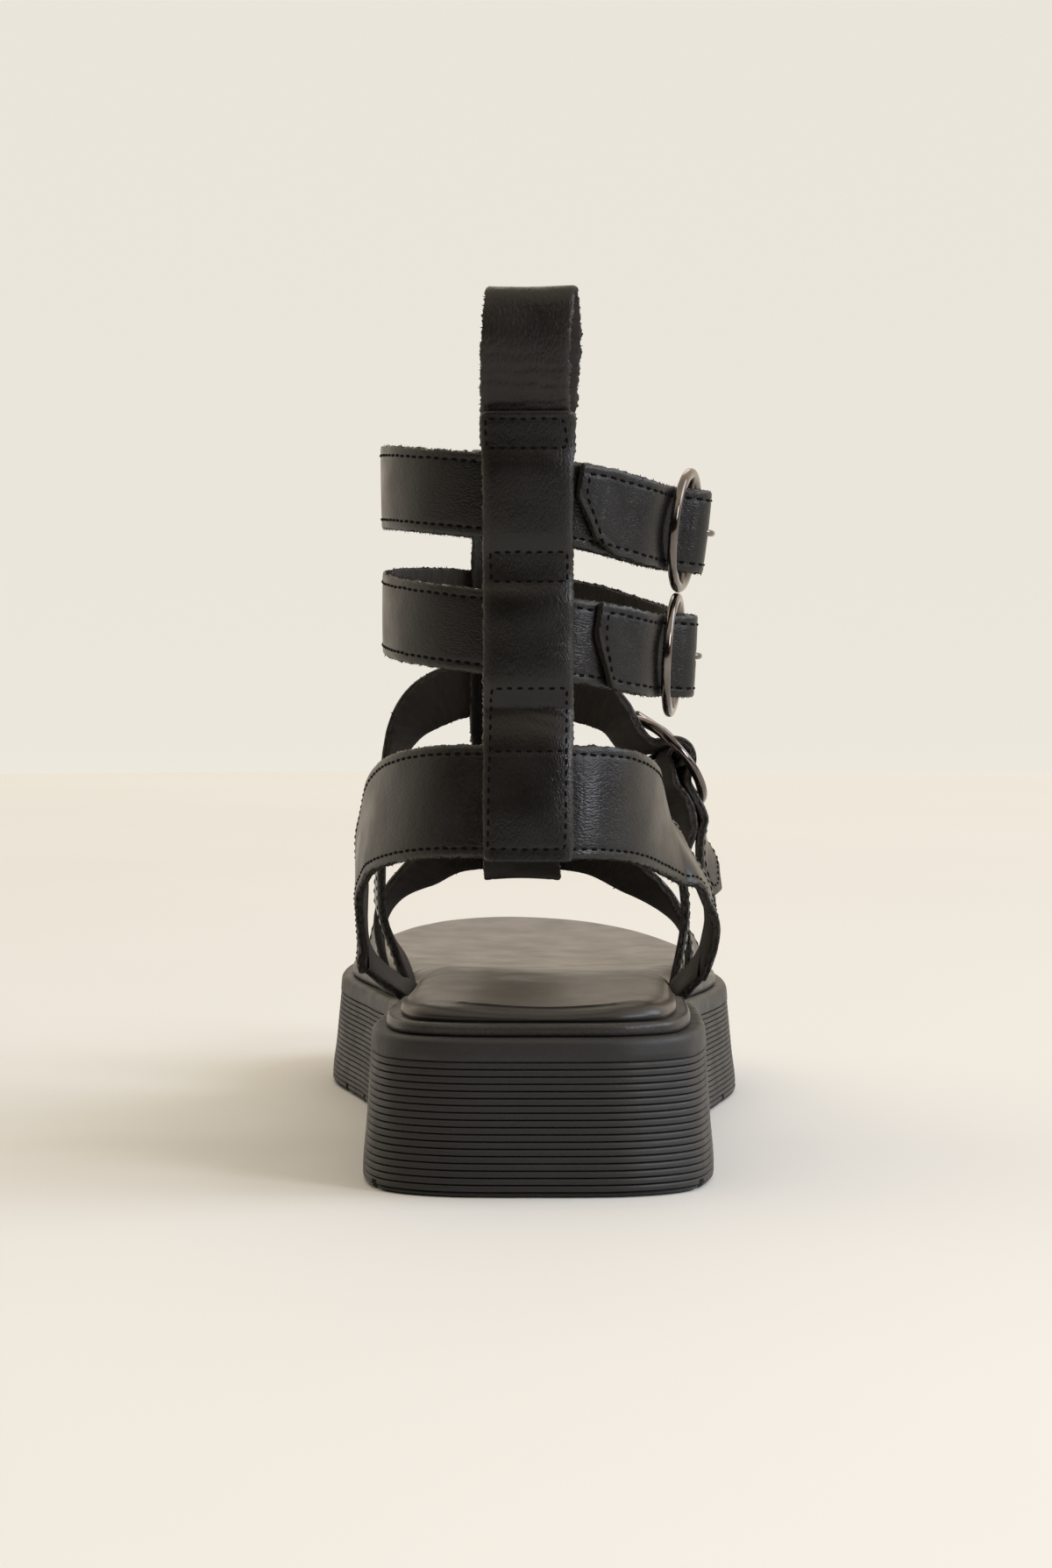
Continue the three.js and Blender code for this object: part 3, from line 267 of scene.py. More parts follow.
def ankle_drop(z, x):
    """How far the ankle falls away from its back or front line at each x."""
    s = ANKLE.at(z)
    width = np.where(x > ANKLE_MIDDLE, s.outer, s.inner)
    share = np.clip(np.abs(x - ANKLE_MIDDLE) / width, 0, 0.999)
    return (s.front - s.back) / 2 * (1 - (1 - share**s.square) ** (1 / s.square))


# ---------------------------------------------------------------- meshes
class Shape:
    """Points in shoe millimetres with faces. place is each point's place in the flat leather, in millimetres,
    and rim how near it is to a cut edge, from 0 to 1."""

    def __init__(self, points, faces, finishes=None, place=None, rim=None):
        self.points = np.asarray(points, float)
        self.faces = [list(map(int, face)) for face in faces]
        self.finishes = [0] * len(self.faces) if finishes is None else [int(f) for f in finishes]
        self.place = self.points.copy() if place is None else np.asarray(place, float)
        self.rim = np.zeros(len(self.points)) if rim is None else np.asarray(rim, float)

    def volume(self):
        total = 0
        for face in self.faces:
            corners = self.points[face]
            fan = np.cross(corners[1:-1], corners[2:])
            total += float(np.sum(fan @ corners[0]))
        return total / 6

    def facing_out(self):
        if self.volume() < 0:
            self.faces = [face[::-1] for face in self.faces]
        return self

    def mesh(self, name):
        mesh = bpy.data.meshes.new(name)
        mesh.from_pydata(to_frame(self.points).tolist(), [], self.faces)
        mesh.polygons.foreach_set("material_index", self.finishes)
        place = mesh.attributes.new("leather_place", "FLOAT_VECTOR", "POINT")
        place.data.foreach_set("vector", (self.place * MM).astype(np.float32).ravel())
        rim = mesh.attributes.new("cut_rim", "FLOAT", "POINT")
        rim.data.foreach_set("value", self.rim.astype(np.float32))
        mesh.update()
        return mesh


def joined(shapes):
    faces, finishes, start = [], [], 0
    for shape in shapes:
        faces += [[i + start for i in face] for face in shape.faces]
        finishes += shape.finishes
        start += len(shape.points)
    return Shape(
        np.vstack([s.points for s in shapes]),
        faces,
        finishes,
        np.vstack([s.place for s in shapes]),
        np.concatenate([s.rim for s in shapes]),
    )


def ring_faces(rows, columns):
    """Quads between rows of points, each row a closed ring."""
    i = np.arange(rows - 1)[:, None] * columns
    j = np.arange(columns)[None, :]
    after = (j + 1) % columns
    return np.stack([i + j, i + after, i + columns + after, i + columns + j], axis=-1).reshape(-1, 4)


def tube_faces(rows, columns):
    """The faces of a closed tube: quads between its rings and a cap at each end."""
    caps = [range(columns)[::-1], range((rows - 1) * columns, rows * columns)]
    return list(ring_faces(rows, columns)) + caps


def tube(centres, ups, radii, sides=16):
    """A closed tube along centres, with a radius at each."""
    along = unit(np.gradient(centres, axis=0))
    ups = unit(ups - along * np.sum(ups * along, axis=1, keepdims=True))
    across = np.cross(along, ups)
    angles = np.arange(sides) * 2 * math.pi / sides
    cos, sin = np.cos(angles)[None, :, None], np.sin(angles)[None, :, None]
    ring = ups[:, None] * cos + across[:, None] * sin
    points = centres[:, None] + ring * np.asarray(radii)[:, None, None]
    return Shape(points.reshape(-1, 3), tube_faces(len(centres), sides)).facing_out()


def make_piece(name, shape, materials, replaced=None, cutters=(), extra=None, sharp=38):
    """Makes the Blender object: cut by its cutters, joined with its loose bits, smoothed up to an angle and
    riding the frame in place of its CAD node."""
    piece = bpy.data.objects.new(name, shape.mesh(name))
    bpy.context.scene.collection.objects.link(piece)
    for material in materials:
        piece.data.materials.append(material)
    for cutter in cutters:
        cut_away(piece, cutter)
    if extra is not None:
        both = bmesh.new()
        both.from_mesh(piece.data)
        loose = extra.mesh(name + "_loose")
        both.from_mesh(loose)
        both.to_mesh(piece.data)
        both.free()
        bpy.data.meshes.remove(loose)
    piece.data.polygons.foreach_set("use_smooth", [True] * len(piece.data.polygons))
    piece.data.set_sharp_from_angle(angle=math.radians(sharp))
    piece.data.update()
    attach(piece, "root")
    if replaced:
        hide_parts(replaced)
    return piece


def cut_away(piece, cutter):
    """Takes a closed shape out of a piece."""
    tool = bpy.data.objects.new("cutter", cutter.mesh("cutter"))
    bpy.context.scene.collection.objects.link(tool)
    modifier = piece.modifiers.new("cut", "BOOLEAN")
    modifier.operation = "DIFFERENCE"
    modifier.solver = "MANIFOLD"
    modifier.object = tool
    graph = bpy.context.evaluated_depsgraph_get()
    result = bpy.data.meshes.new_from_object(piece.evaluated_get(graph))
    piece.modifiers.remove(modifier)
    old = piece.data
    piece.data = result
    bpy.data.meshes.remove(old)
    bpy.data.objects.remove(tool)


# ---------------------------------------------------------------- straps
# A strap's section, from its cut edge inwards: how far in, and how far below the face as a share of half the
# thickness. The seam lies in a shallow pressed groove.
FACE_EDGE = (
    (0.0, 0.62), (0.1, 0.24), (0.38, 0.04), (0.9, 0.0), (1.3, 0.01),
    (1.65, 0.06), (1.9, 0.1), (2.15, 0.07), (2.5, 0.02), (2.95, 0.0),
)
BACK_EDGE = ((0.0, 0.5), (0.14, 0.14), (0.55, 0.0))
PLAIN_EDGE = ((0.0, 0.62), (0.1, 0.24), (0.38, 0.04), (0.9, 0.0), (1.9, 0.0), (2.95, 0.0))
FACE_MIDDLE = 9  # columns between the two edges
BACK_MIDDLE = 5
LEATHER_FACE, CUT_EDGE, FLESH_SIDE = 0, 1, 2  # a strap's materials
WAVER_STEP = 1.7  # length of the slow waver of a cut edge
EDGE_SEAM = 0.16  # how far in the row between a cut edge and its faces lies


class Strip:
    """A strap along a line of points: p is the middle of its thickness, out points away from the foot. sag
    tells how far each share of the width falls away along sag_way, relief how the face rises and dips."""

    def __init__(
        self, points, width, sag=None, sag_way=None, relief=None, corner=0.6, grooved=True, crown=0.12
    ):
        places = lengths_along(points["p"])
        total = places[-1]
        ends = np.array([0, 0.06, 0.2, 0.4, 0.7, 1.1, 1.6, 2.2])
        inside = np.linspace(2.7, total - 2.7, max(2, int(total / ROW_STEP)))
        s = np.concatenate([ends, inside, (total - ends)[::-1]])
        self.s, self.total, self.width = s, total, width
        self.columns = {key: spline(np.asarray(v, float), places, s) for key, v in points.items()}
        self.p = self.columns["p"]
        along = unit(np.gradient(self.p, s, axis=0))
        out = self.columns["out"]
        self.n = unit(out - along * np.sum(out * along, axis=1, keepdims=True))
        self.w = np.cross(self.n, along)
        self.along = along
        self.thick = self.columns.get("thick", np.full(len(s), float(LEATHER)))
        half = self.columns.get("half", np.full(len(s), width / 2))
        self.half = half
        from_end = np.minimum(s, total - s)
        rounding = corner - np.sqrt(np.maximum(0, corner**2 - (corner - from_end) ** 2))
        rounded = np.where(from_end < corner, rounding, 0)
        low = np.interp(s, places, points["low"]) if "low" in points else np.full(len(s), -1.0)
        self.low = low * half + rounded
        self.high = half - rounded
        self.sag = sag or (lambda strip, share: np.zeros_like(share))
        self.sag_way = sag_way if sag_way is not None else (lambda strip: -strip.n)
        self.relief = relief or (lambda s, u: np.zeros(np.broadcast(s, u).shape))
        self.face_edge = FACE_EDGE if grooved else PLAIN_EDGE
        self.crown = crown

    def sagged(self, u):
        """The displacement of each row at offsets u (rows x columns)."""
        amount = self.sag(self, u / (self.width / 2))
        return amount[..., None] * self.sag_way(self)[:, None, :]

    def shape(self, seed, rough):
        """The strap's closed surface, its cut edges slightly uneven."""
        random = np.random.default_rng(seed)
        rows = len(self.s)
        face_in = np.array([edge[0] for edge in self.face_edge])
        back_in = np.array([edge[0] for edge in BACK_EDGE])
        face_sink = np.array([edge[1] for edge in self.face_edge])
        back_sink = np.array([edge[1] for edge in BACK_EDGE])
        low, high, half_thick = self.low[:, None], self.high[:, None], self.thick[:, None] / 2
        shares = (np.arange(FACE_MIDDLE) + 1) / (FACE_MIDDLE + 1)
        back_shares = (np.arange(BACK_MIDDLE) + 1) / (BACK_MIDDLE + 1)
        fit = np.minimum(1, (high - low) / (2 * face_in[-1] + 0.6))

        def across(start, end, inwards, middle):
            """Offsets from one cut edge to the other, close together near both."""
            sense = np.sign(end - start)
            first, last = start + sense * inwards * fit, end - sense * inwards * fit
            return np.concatenate([first, mix(first[:, -1:], last[:, -1:], middle), last[:, ::-1]], axis=1)

        u_face = across(low, high, face_in, shares)
        u_back = across(high, low, back_in, back_shares)
        u = np.concatenate([u_face, high - EDGE_SEAM * fit, u_back, low + EDGE_SEAM * fit], axis=1)
        sink_face = np.concatenate([face_sink, np.zeros(FACE_MIDDLE), face_sink[::-1]])
        sink_back = np.concatenate([back_sink, np.zeros(BACK_MIDDLE), back_sink[::-1]])
        bulge = self.crown * (1 - (2 * (u_face - low) / (high - low) - 1) ** 2)
        v_face = half_thick * (1 - sink_face) + bulge
        v_back = -half_thick * (1 - sink_back)
        edge = np.full((rows, 1), 0.05)
        v = np.concatenate([v_face, edge, v_back, edge], axis=1)
        face_count, count = u_face.shape[1], u.shape[1]
        v[:, :face_count] += self.relief(self.s[:, None], u_face)
        # The last rows close in a little, so that each end has a soft edge like the sides.
        from_end = np.minimum(self.s, self.total - self.s)[:, None]
        v *= 1 - 0.3 * np.clip(1 - from_end / 0.4, 0, 1) ** 2
        # Cut edges: fine nicks and a slow waver, strongest at the edge itself.
        edge_share = np.exp(-np.minimum(u - low, high - u) / 0.22)
        knots = np.arange(0, self.total + 3, WAVER_STEP)
        waver = np.interp(self.s, knots, random.normal(0, 1, len(knots)))
        nicks = random.normal(0, rough, (rows, count)) + (0.5 * rough * waver)[:, None]
        u = u + nicks * edge_share
        v = v + random.normal(0, 0.35 * rough, (rows, count)) * edge_share
        points = self.p[:, None] + self.w[:, None] * u[..., None] + self.n[:, None] * v[..., None]
        points = points + self.sagged(u)
        steps = np.cumsum(np.hypot(np.diff(u), np.diff(v)), axis=1)
        around = np.concatenate([np.zeros((rows, 1)), steps], axis=1)
        along = np.broadcast_to(self.s[:, None], around.shape)
        place = np.stack([around, along, np.zeros_like(around)], axis=-1)
        depth = np.minimum(u - low, high - u)
        on_face = np.arange(count)[None, :] < face_count
        rim = np.clip(1 - (depth - 0.2) / 1.5, 0, 1) * np.where(on_face, 1, 0.6)
        column_finish = np.full(count, FLESH_SIDE)
        column_finish[: face_count - 1] = LEATHER_FACE
        column_finish[face_count - 1 : face_count + 1] = CUT_EDGE
        column_finish[count - 2 :] = CUT_EDGE
        faces = tube_faces(rows, count)
        finishes = np.concatenate([np.tile(column_finish, rows - 1), [CUT_EDGE, CUT_EDGE]])
        made = Shape(points.reshape(-1, 3), faces, finishes, place.reshape(-1, 3), rim.ravel())
        return made.facing_out()

    def spot(self, s, u, height=0.0):
        """Points over the outer face at lengths s and offsets u, with the strap's directions there."""
        s, u = np.asarray(s, float), np.asarray(u, float)
        p = read_line(self.s, self.p, s)
        n = unit(read_line(self.s, self.n, s))
        w = unit(read_line(self.s, self.w, s))
        along = unit(read_line(self.s, self.along, s))
        thick = np.interp(s, self.s, self.thick)
        share = u / (self.width / 2)
        rows = np.clip(np.searchsorted(self.s, s), 0, len(self.s) - 1)
        offsets = np.linspace(-self.width / 2, self.width / 2, 41)
        table = self.sagged(np.broadcast_to(offsets, (len(self.s), len(offsets))))
        column = np.clip((share + 1) * 20, 0, 40)
        left = np.clip(column.astype(int), 0, 39)
        part = (column - left)[:, None]
        fall = table[rows, left] * (1 - part) + table[rows, left + 1] * part
        low, high = np.interp(s, self.s, self.low), np.interp(s, self.s, self.high)
        bulge = self.crown * np.maximum(0, 1 - (2 * (u - low) / (high - low) - 1) ** 2)
        lift = thick / 2 + height + bulge + self.relief(s, u)
        return p + w * u[:, None] + n * lift[:, None] + fall, n, w, along

    def fibres(self, seed, low_density, high_density, longest):
        """Loose fibres and tufts that stand out of the cut edges: small three-sided spikes, so many to a
        millimetre of each edge."""
        random = np.random.default_rng(seed)
        shapes = []
        for side, density in ((-1, low_density), (1, high_density)):
            count = int(self.total * density)
            s = random.uniform(0.3, self.total - 0.3, count)
            edge = np.interp(s, self.s, self.low if side < 0 else self.high)
            base, n, w, along = self.spot(s, edge - side * 0.1, 0)
            thick = np.interp(s, self.s, self.thick)
            base = base - n * (thick * random.uniform(0.12, 0.9, count))[:, None]
            lean, rise = random.normal(0, 0.8, (count, 1)), random.normal(0, 0.5, (count, 1))
            way = unit(side * w + along * lean + n * rise)
            long = np.minimum(longest, random.exponential(0.22, count) + 0.15)
            thin = random.uniform(0.1, 0.26, count)
            tip = base + way * long[:, None]
            corners = [tip]
            for k in range(3):
                turn = 2 * math.pi * k / 3
                around = along * math.cos(turn) + n * math.sin(turn)
                corners.append(base + around * thin[:, None] - w * side * 0.08)
            points = np.stack(corners, axis=1).reshape(-1, 3)
            order = np.array([[0, 1, 2], [0, 2, 3], [0, 3, 1], [1, 3, 2]])
            faces = (np.arange(count)[:, None, None] * 4 + order[None]).reshape(-1, 3)
            if Shape(points[:4], order).volume() < 0:
                faces = faces[:, ::-1]
            shapes.append(Shape(points, faces, np.full(len(faces), CUT_EDGE)))
        return joined(shapes)


# One stitch from end to end: share of its length, share of the thread's thickness, and height over the face.
STITCH = ((0.0, 0.7, -0.46), (0.14, 0.95, -0.18), (0.5, 1.0, -0.06), (0.86, 0.95, -0.18), (1.0, 0.7, -0.46))


def stitches(strip, seed, *paths):
    """Thread along each path of (s, u) corners: one short sunk stitch after another."""
    random = np.random.default_rng(seed)
    starts, ends = [], []
    for path in paths:
        corners = np.array(path, float)
        places = lengths_along(corners)
        count = max(1, int(round(places[-1] / STITCH_PITCH)))
        pitch = places[-1] / count
        first = (np.arange(count) + 0.5) * pitch - STITCH_LENGTH / 2
        starts.append(read_line(places, corners, first))
        ends.append(read_line(places, corners, first + STITCH_LENGTH))
    starts, ends = np.vstack(starts), np.vstack(ends)
    count = len(starts)
    wobble = random.normal(0, 0.06, (count, 2))
    starts, ends = starts + wobble, ends + wobble[:, ::-1]
    sides = 6
    points = []
    for share, size, height in STITCH:
        here = mix(starts, ends, share)
        centre, n, w, along = strip.spot(here[:, 0], here[:, 1], height)
        course = ends - starts
        way = unit(along * course[:, :1] + w * course[:, 1:])
        across = np.cross(n, way)
        for k in range(sides):
            turn = 2 * math.pi * k / sides
            points.append(centre + (n * math.cos(turn) + across * math.sin(turn)) * THREAD_RADIUS * size)
    points = np.stack(points, axis=1).reshape(-1, 3)
    each = len(STITCH) * sides
    starts = np.arange(count)[:, None] * each
    quads = (starts[..., None] + ring_faces(len(STITCH), sides)[None]).reshape(-1, 4)
    caps = np.concatenate([starts + np.arange(sides)[::-1], starts + each - sides + np.arange(sides)])
    faces = list(quads) + list(caps)
    if Shape(points[:each], tube_faces(len(STITCH), sides)).volume() < 0:
        faces = [face[::-1] for face in faces]
    return Shape(points, faces)


# ---------------------------------------------------------------- buckles
RING = SimpleNamespace(outer=13.3, inner=10.8, thick=2, tilt=0.108, height=4.9)
BAR_RADIUS = 1
PRONG_RADIUS = 0.72
PRONG_HOLE = SimpleNamespace(along=0.9, radius=1.35)
OVER_BAR = (
    ("before the ring", -12, 3.45),
    ("under the ring", -7, 3.5),
    ("rising", -5.9, 3.9),
    ("rising to the bar", -4.6, 5.4),
    ("shoulder", -2.8, 7.75),
    ("over the bar", 0, 8.75),
    ("far shoulder", 2.8, 7.5),
    ("falling", 4.3, 4.7),
    ("foot of the fall", 5.5, 2.3),
    ("under the ring again", 7.6, 1.15),
    ("on the foot", 12, 1.05),
)
ROUND_BAR = SimpleNamespace(radius=1.9, start=-95, end=200, steps=9, thick=1.3)


class Line:
    """A line round the foot, read by length from the buckle: points and outward directions."""

    def __init__(self, points, outs, zero=0.0, way=1, closed=False, facing=0.0):
        self.points, self.outs, self.facing = np.array(points), np.array(outs), facing
        self.places = lengths_along(self.points)
        self.total, self.zero, self.way, self.closed = self.places[-1], zero, way, closed

    def curve(self, s):
        at = self.zero + self.way * np.atleast_1d(np.asarray(s, float))
        at = np.mod(at, self.total) if self.closed else np.clip(at, 0, self.total)
        return read_line(self.places, self.points, at), unit(read_line(self.places, self.outs, at))

    def held(self, s):
        """The same line, made straight where the buckle holds the strap."""
        s = np.atleast_1d(np.asarray(s, float))
        flat = self.buckle(self.curve, self.facing)
        p, out = self.curve(s)
        hold = (1 - smooth((np.abs(s) - 9) / 14))[:, None]
        return mix(p, flat.p + flat.along * s[:, None], hold), unit(mix(out, flat.out, hold))

    def buckle(self, read=None, facing=0.0):
        """The buckle's place and directions. It lies the way the line runs at facing."""
        read = read or self.held
        (here,), _ = read(0)
        _, (out,) = read(facing)
        along = unit(read(facing + 1)[0][0] - read(facing - 1)[0][0])
        out = unit(out - along * np.dot(out, along))
        return SimpleNamespace(p=here, along=along, out=out, across=np.cross(out, along))


def sew(name, strip, seed, seams):
    """A strap's stitches, as a piece of their own."""
    make_piece(name + "_stitching", stitches(strip, seed, *seams), [THREAD])


def strap_and_seams(
    name, strip, seed, replaced, seams=(), cutters=(), finish=None, rough=0.13,
    fibres=(5.0, 2.8, 0.8)
):
    """A strap with its loose fibres, and its stitches."""
    make_piece(name, strip.shape(seed, rough), finish or STRAP_FINISH, replaced,
               cutters=cutters, extra=strip.fibres(seed, *fibres))
    if seams:
        sew(name, strip, seed, seams)


def steps_between(start, end, fine_below=14, fine=1.25, coarse=4.6):
    steps, s = [], start
    while s < end - 0.4:
        steps.append(s)
        s += fine if abs(s) < fine_below else coarse
    return np.array(steps + [end])


def lifted(line, s, lifts):
    p, out = line.held(s)
    return {"p": p + out * lifts.column("lift", s)[:, None], "out": out}


def fold_round_bar(line, arrive):
    """Adds the fold round the bar to the points of the strap that arrives from behind it."""
    spot = line.buckle()
    angles = np.radians(np.linspace(ROUND_BAR.start, ROUND_BAR.end, ROUND_BAR.steps + 1))
    x = np.concatenate([[-2.6], np.cos(angles) * ROUND_BAR.radius])
    z = np.concatenate([[2.1], RING.height + np.sin(angles) * ROUND_BAR.radius])
    out_x = np.concatenate([[0.3], -np.cos(angles)])
    out_z = np.concatenate([[1], -np.sin(angles)])
    fold = spot.p + spot.along * x[:, None] + spot.out * z[:, None]
    outs = unit(spot.along * out_x[:, None] + spot.out * out_z[:, None])
    count = len(arrive["p"])
    thick = np.concatenate([np.full(count, LEATHER), [1.5], np.full(len(angles), ROUND_BAR.thick)])
    made = {"p": np.vstack([arrive["p"], fold]), "out": np.vstack([arrive["out"], outs]), "thick": thick}
    if "low" in arrive:
        made["low"] = np.concatenate([arrive["low"], np.full(len(fold), -1.0)])
    return made


def tip_low(s, loose_end, cut):
    """The lower limit of the width along a loose end that is cut back on one side, as a share of its half."""
    return np.where(s + loose_end < cut, mix(TIP_SQUARE, -1, (s + loose_end) / cut), -1)


def tip_seam(end, cut=TIP_CUT, width=NARROW_STRAP, inset=SEAM_INSET):
    """The seam round a loose end, as (s, u) corners: along one edge, round the cut tip and back."""
    half = width / 2
    slope = -(1 + TIP_SQUARE) * half / cut
    inward = unit((-slope, 1))
    start = np.array((0, TIP_SQUARE * half)) + inward * inset
    at_low = start[0] + (inset - half - start[1]) / slope
    at_end = start[1] + slope * (inset - start[0])
    low, high = inset - half, half - inset
    return ((end, low), (at_low, low), (inset, at_end), (inset, high), (end, high))


def cylinder(a, b, radius, sides=24):
    a, b = np.asarray(a, float), np.asarray(b, float)
    up = np.cross(b - a, (1, 0, 0)) if abs(unit(b - a)[0]) < 0.9 else np.cross(b - a, (0, 1, 0))
    ends = np.linspace(0, 1, 4)[:, None]
    return tube(mix(a, b, ends), np.tile(up, (4, 1)), np.full(4, radius), sides)


def in_place(shape, spot):
    """Moves a shape from a buckle's own frame into the shoe."""
    basis = np.stack([spot.along, spot.across, spot.out])
    return Shape(shape.points @ basis + spot.p, shape.faces, shape.finishes).facing_out()


def prong_cuts(line):
    """The prong's hole in the loose end, and its slot in the fold round the bar."""
    spot = line.buckle()
    hole = cylinder((PRONG_HOLE.along, 0, 7.2), (PRONG_HOLE.along, 0, 12), PRONG_HOLE.radius)
    slot = cylinder((0, -1.5, RING.height), (0, 1.5, RING.height), 2.75)
    return in_place(hole, spot), in_place(slot, spot)


# ---------------------------------------------------------------- materials
def hexcolour(code):
    """An sRGB hex colour as linear red, green, blue and alpha."""
    shares = [int(code[i : i + 2], 16) / 255 for i in (1, 3, 5)]
    return [s / 12.92 if s <= 0.04045 else ((s + 0.055) / 1.055) ** 2.4 for s in shares] + [1]


def fill(tree, node, values):
    """Sets or links a node's inputs."""
    for socket, value in values.items():
        if isinstance(value, bpy.types.NodeSocket):
            tree.links.new(value, node.inputs[socket])
        else:
            node.inputs[socket].default_value = value


def add_node(tree, kind, inputs=None, **settings):
    """Adds a node, sets it up and fills or links its inputs."""
    made = tree.nodes.new("ShaderNode" + kind)
    for name, value in settings.items():
        setattr(made, name, value)
    fill(tree, made, inputs or {})
    return made


def new_material(name, attribute=None):
    """A material, its tree and shader, and the place that its patterns follow: a named one or the object's."""
    material = bpy.data.materials.new(name)
    material.use_nodes = True
    tree = material.node_tree
    if attribute:
        place = add_node(tree, "Attribute", attribute_name=attribute).outputs["Vector"]
    else:
        place = add_node(tree, "TexCoord").outputs["Object"]
    return material, tree, tree.nodes["Principled BSDF"], place


def patches(place, millimetres, detail):
    """The inputs of a pattern whose patches are so many millimetres wide."""
    return {"Vector": place, "Scale": 1 / (millimetres * MM), "Detail": detail}


def mottled(tree, place, size, low, high, dark, light, detail=3.0):
    """Colour that drifts between two shades in soft patches."""
    noise = add_node(tree, "TexNoise", patches(place, size, detail))
    shade = add_node(tree, "ValToRGB", {"Fac": noise.outputs["Fac"]})
    for element, position, colour in zip(shade.color_ramp.elements, (low, high), (dark, light)):
        element.position = position
        element.color = hexcolour(colour)
    return shade.outputs["Color"]


def drifting(tree, place, size, detail, low, high):
    """A value that drifts between low and high in soft patches."""
    noise = add_node(tree, "TexNoise", patches(place, size, detail))
    limits = {"Value": noise.outputs["Fac"], "From Min": 0.3, "From Max": 0.7, "To Min": low, "To Max": high}
    return add_node(tree, "MapRange", limits).outputs["Result"]


def uneven(tree, place, size, detail, deep, strength, under=None):
    """A surface that rises and dips in soft patches, deep millimetres at most, over the relief under it."""
    noise = add_node(tree, "TexNoise", patches(place, size, detail))
    relief = {"Height": noise.outputs["Fac"], "Distance": deep * MM, "Strength": strength}
    if under is not None:
        relief["Normal"] = under
    return add_node(tree, "Bump", relief).outputs["Normal"]


def grained_leather(
    name, dark, light, rim, crease, roughness, depth, attribute="leather_place", stretch=2.4
):
    """Aniline-dyed, milled calf leather. Milling leaves fine wrinkles that all run one way, so a highlight
    breaks up into short slanting glints. crease is their spacing in millimetres and depth how deep they are.
    They are drawn a little coarser than life, so that they show."""
    material, tree, shader, place = new_material(name, attribute)
    slant = {"Vector": place, "Rotation": (0, 0, math.radians(38)), "Scale": (1, 1 / stretch, 1)}
    turned = add_node(tree, "Mapping", slant)
    bend = add_node(tree, "TexNoise", patches(place, 1.8, 2.0))
    middle = {0: bend.outputs["Color"], 1: (0.5, 0.5, 0.5)}
    bent = add_node(tree, "VectorMath", middle, operation="SUBTRACT")
    shift = add_node(tree, "VectorMath", {0: bent.outputs["Vector"], "Scale": 0.9 * MM}, operation="SCALE")
    where = add_node(tree, "VectorMath", {0: turned.outputs["Vector"], 1: shift.outputs["Vector"]})
    creases = {"Vector": where.outputs["Vector"], "Scale": 1 / (crease * MM), "Smoothness": 0.35}
    cells = add_node(tree, "TexVoronoi", creases, feature="SMOOTH_F1")
    folds = {"Height": cells.outputs["Distance"], "Distance": depth * MM, "Strength": 1.0}
    wrinkled = add_node(tree, "Bump", folds, invert=True).outputs["Normal"]
    pored = uneven(tree, place, 0.35, 4.0, depth * 0.6, 0.8, wrinkled)
    waved = uneven(tree, place, 9, 2.0, depth * 5, 0.5, pored)
    colour = mottled(tree, place, 14, 0.35, 0.7, dark, light)
    if rim:
        near = add_node(tree, "Attribute", attribute_name="cut_rim")
        worn = add_node(tree, "TexNoise", patches(place, 1.6, 3.0))
        both = {0: near.outputs["Fac"], 1: worn.outputs["Fac"]}
        share = add_node(tree, "Math", both, operation="MULTIPLY")
        shades = {"Factor": share.outputs[0], 6: colour, 7: hexcolour(rim)}
        colour = add_node(tree, "Mix", shades, data_type="RGBA").outputs[2]
    gloss = drifting(tree, place, 9, 2.0, roughness - 0.06, roughness + 0.08)
    fill(tree, shader, {"Base Color": colour, "Roughness": gloss, "Normal": waved, "IOR": 1.42})
    return material


def brushed(material):
    """Wax brushed over a leather: more gloss, and a faint warm bloom where it is seen at a low angle."""
    shader = material.node_tree.nodes["Principled BSDF"]
    bloom = {"IOR": 1.52, "Sheen Weight": 0.12, "Sheen Tint": hexcolour("#ead9bf")}
    fill(material.node_tree, shader, bloom)


def cut_leather(name, dark, light):
    """The cut edge of retanned leather, dyed with a brush: open fibres, no shine, slightly paler."""
    material, tree, shader, place = new_material(name)
    colour = mottled(tree, place, 0.8, 0.3, 0.75, dark, light, 5.0)
    fibrous = uneven(tree, place, 0.3, 5.0, 0.25, 1.0)
    fill(tree, shader, {"Base Color": colour, "Normal": fibrous, "Roughness": 0.92})
    return material


def flesh_leather(name, dark, light):
    """The lining side of the straps: split leather with a rubbed nap, which gives a dull, streaky black."""
    material, tree, shader, place = new_material(name, "leather_place")
    drawn = add_node(tree, "Mapping", {"Vector": place, "Scale": (0.18, 1, 1)}).outputs["Vector"]
    colour = mottled(tree, drawn, 1.6, 0.3, 0.72, dark, light, 4.0)
    napped = uneven(tree, drawn, 0.5, 4.0, 0.15, 0.8)
    fill(tree, shader, {"Base Color": colour, "Normal": napped, "Roughness": 0.78})
    return material


def moulded_rubber(name, dark, light):
    """Injection-moulded nitrile rubber: even near-black with a fine mould texture and a soft, wide sheen."""
    material, tree, shader, place = new_material(name)
    colour = mottled(tree, place, 22, 0.3, 0.75, dark, light)
    skin = uneven(tree, place, 0.5, 5.0, 0.06, 0.8)
    gloss = drifting(tree, place, 7, 4.0, 0.46, 0.6)
    fill(tree, shader, {"Base Color": colour, "Normal": skin, "Roughness": gloss, "IOR": 1.5})
    return material


def plated_gunmetal(name, dark, light):
    """Cast zinc with a polished black-nickel plating: mirror-like, warm grey, its gloss drifting in fine
    patches.
    """
    material, tree, shader, place = new_material(name)
    tint = mottled(tree, place, 6, 0.3, 0.7, dark, light)
    gloss = drifting(tree, place, 0.9, 4.0, 0.08, 0.17)
    fill(tree, shader, {"Base Color": tint, "Roughness": gloss, "Metallic": 1.0})
    return material


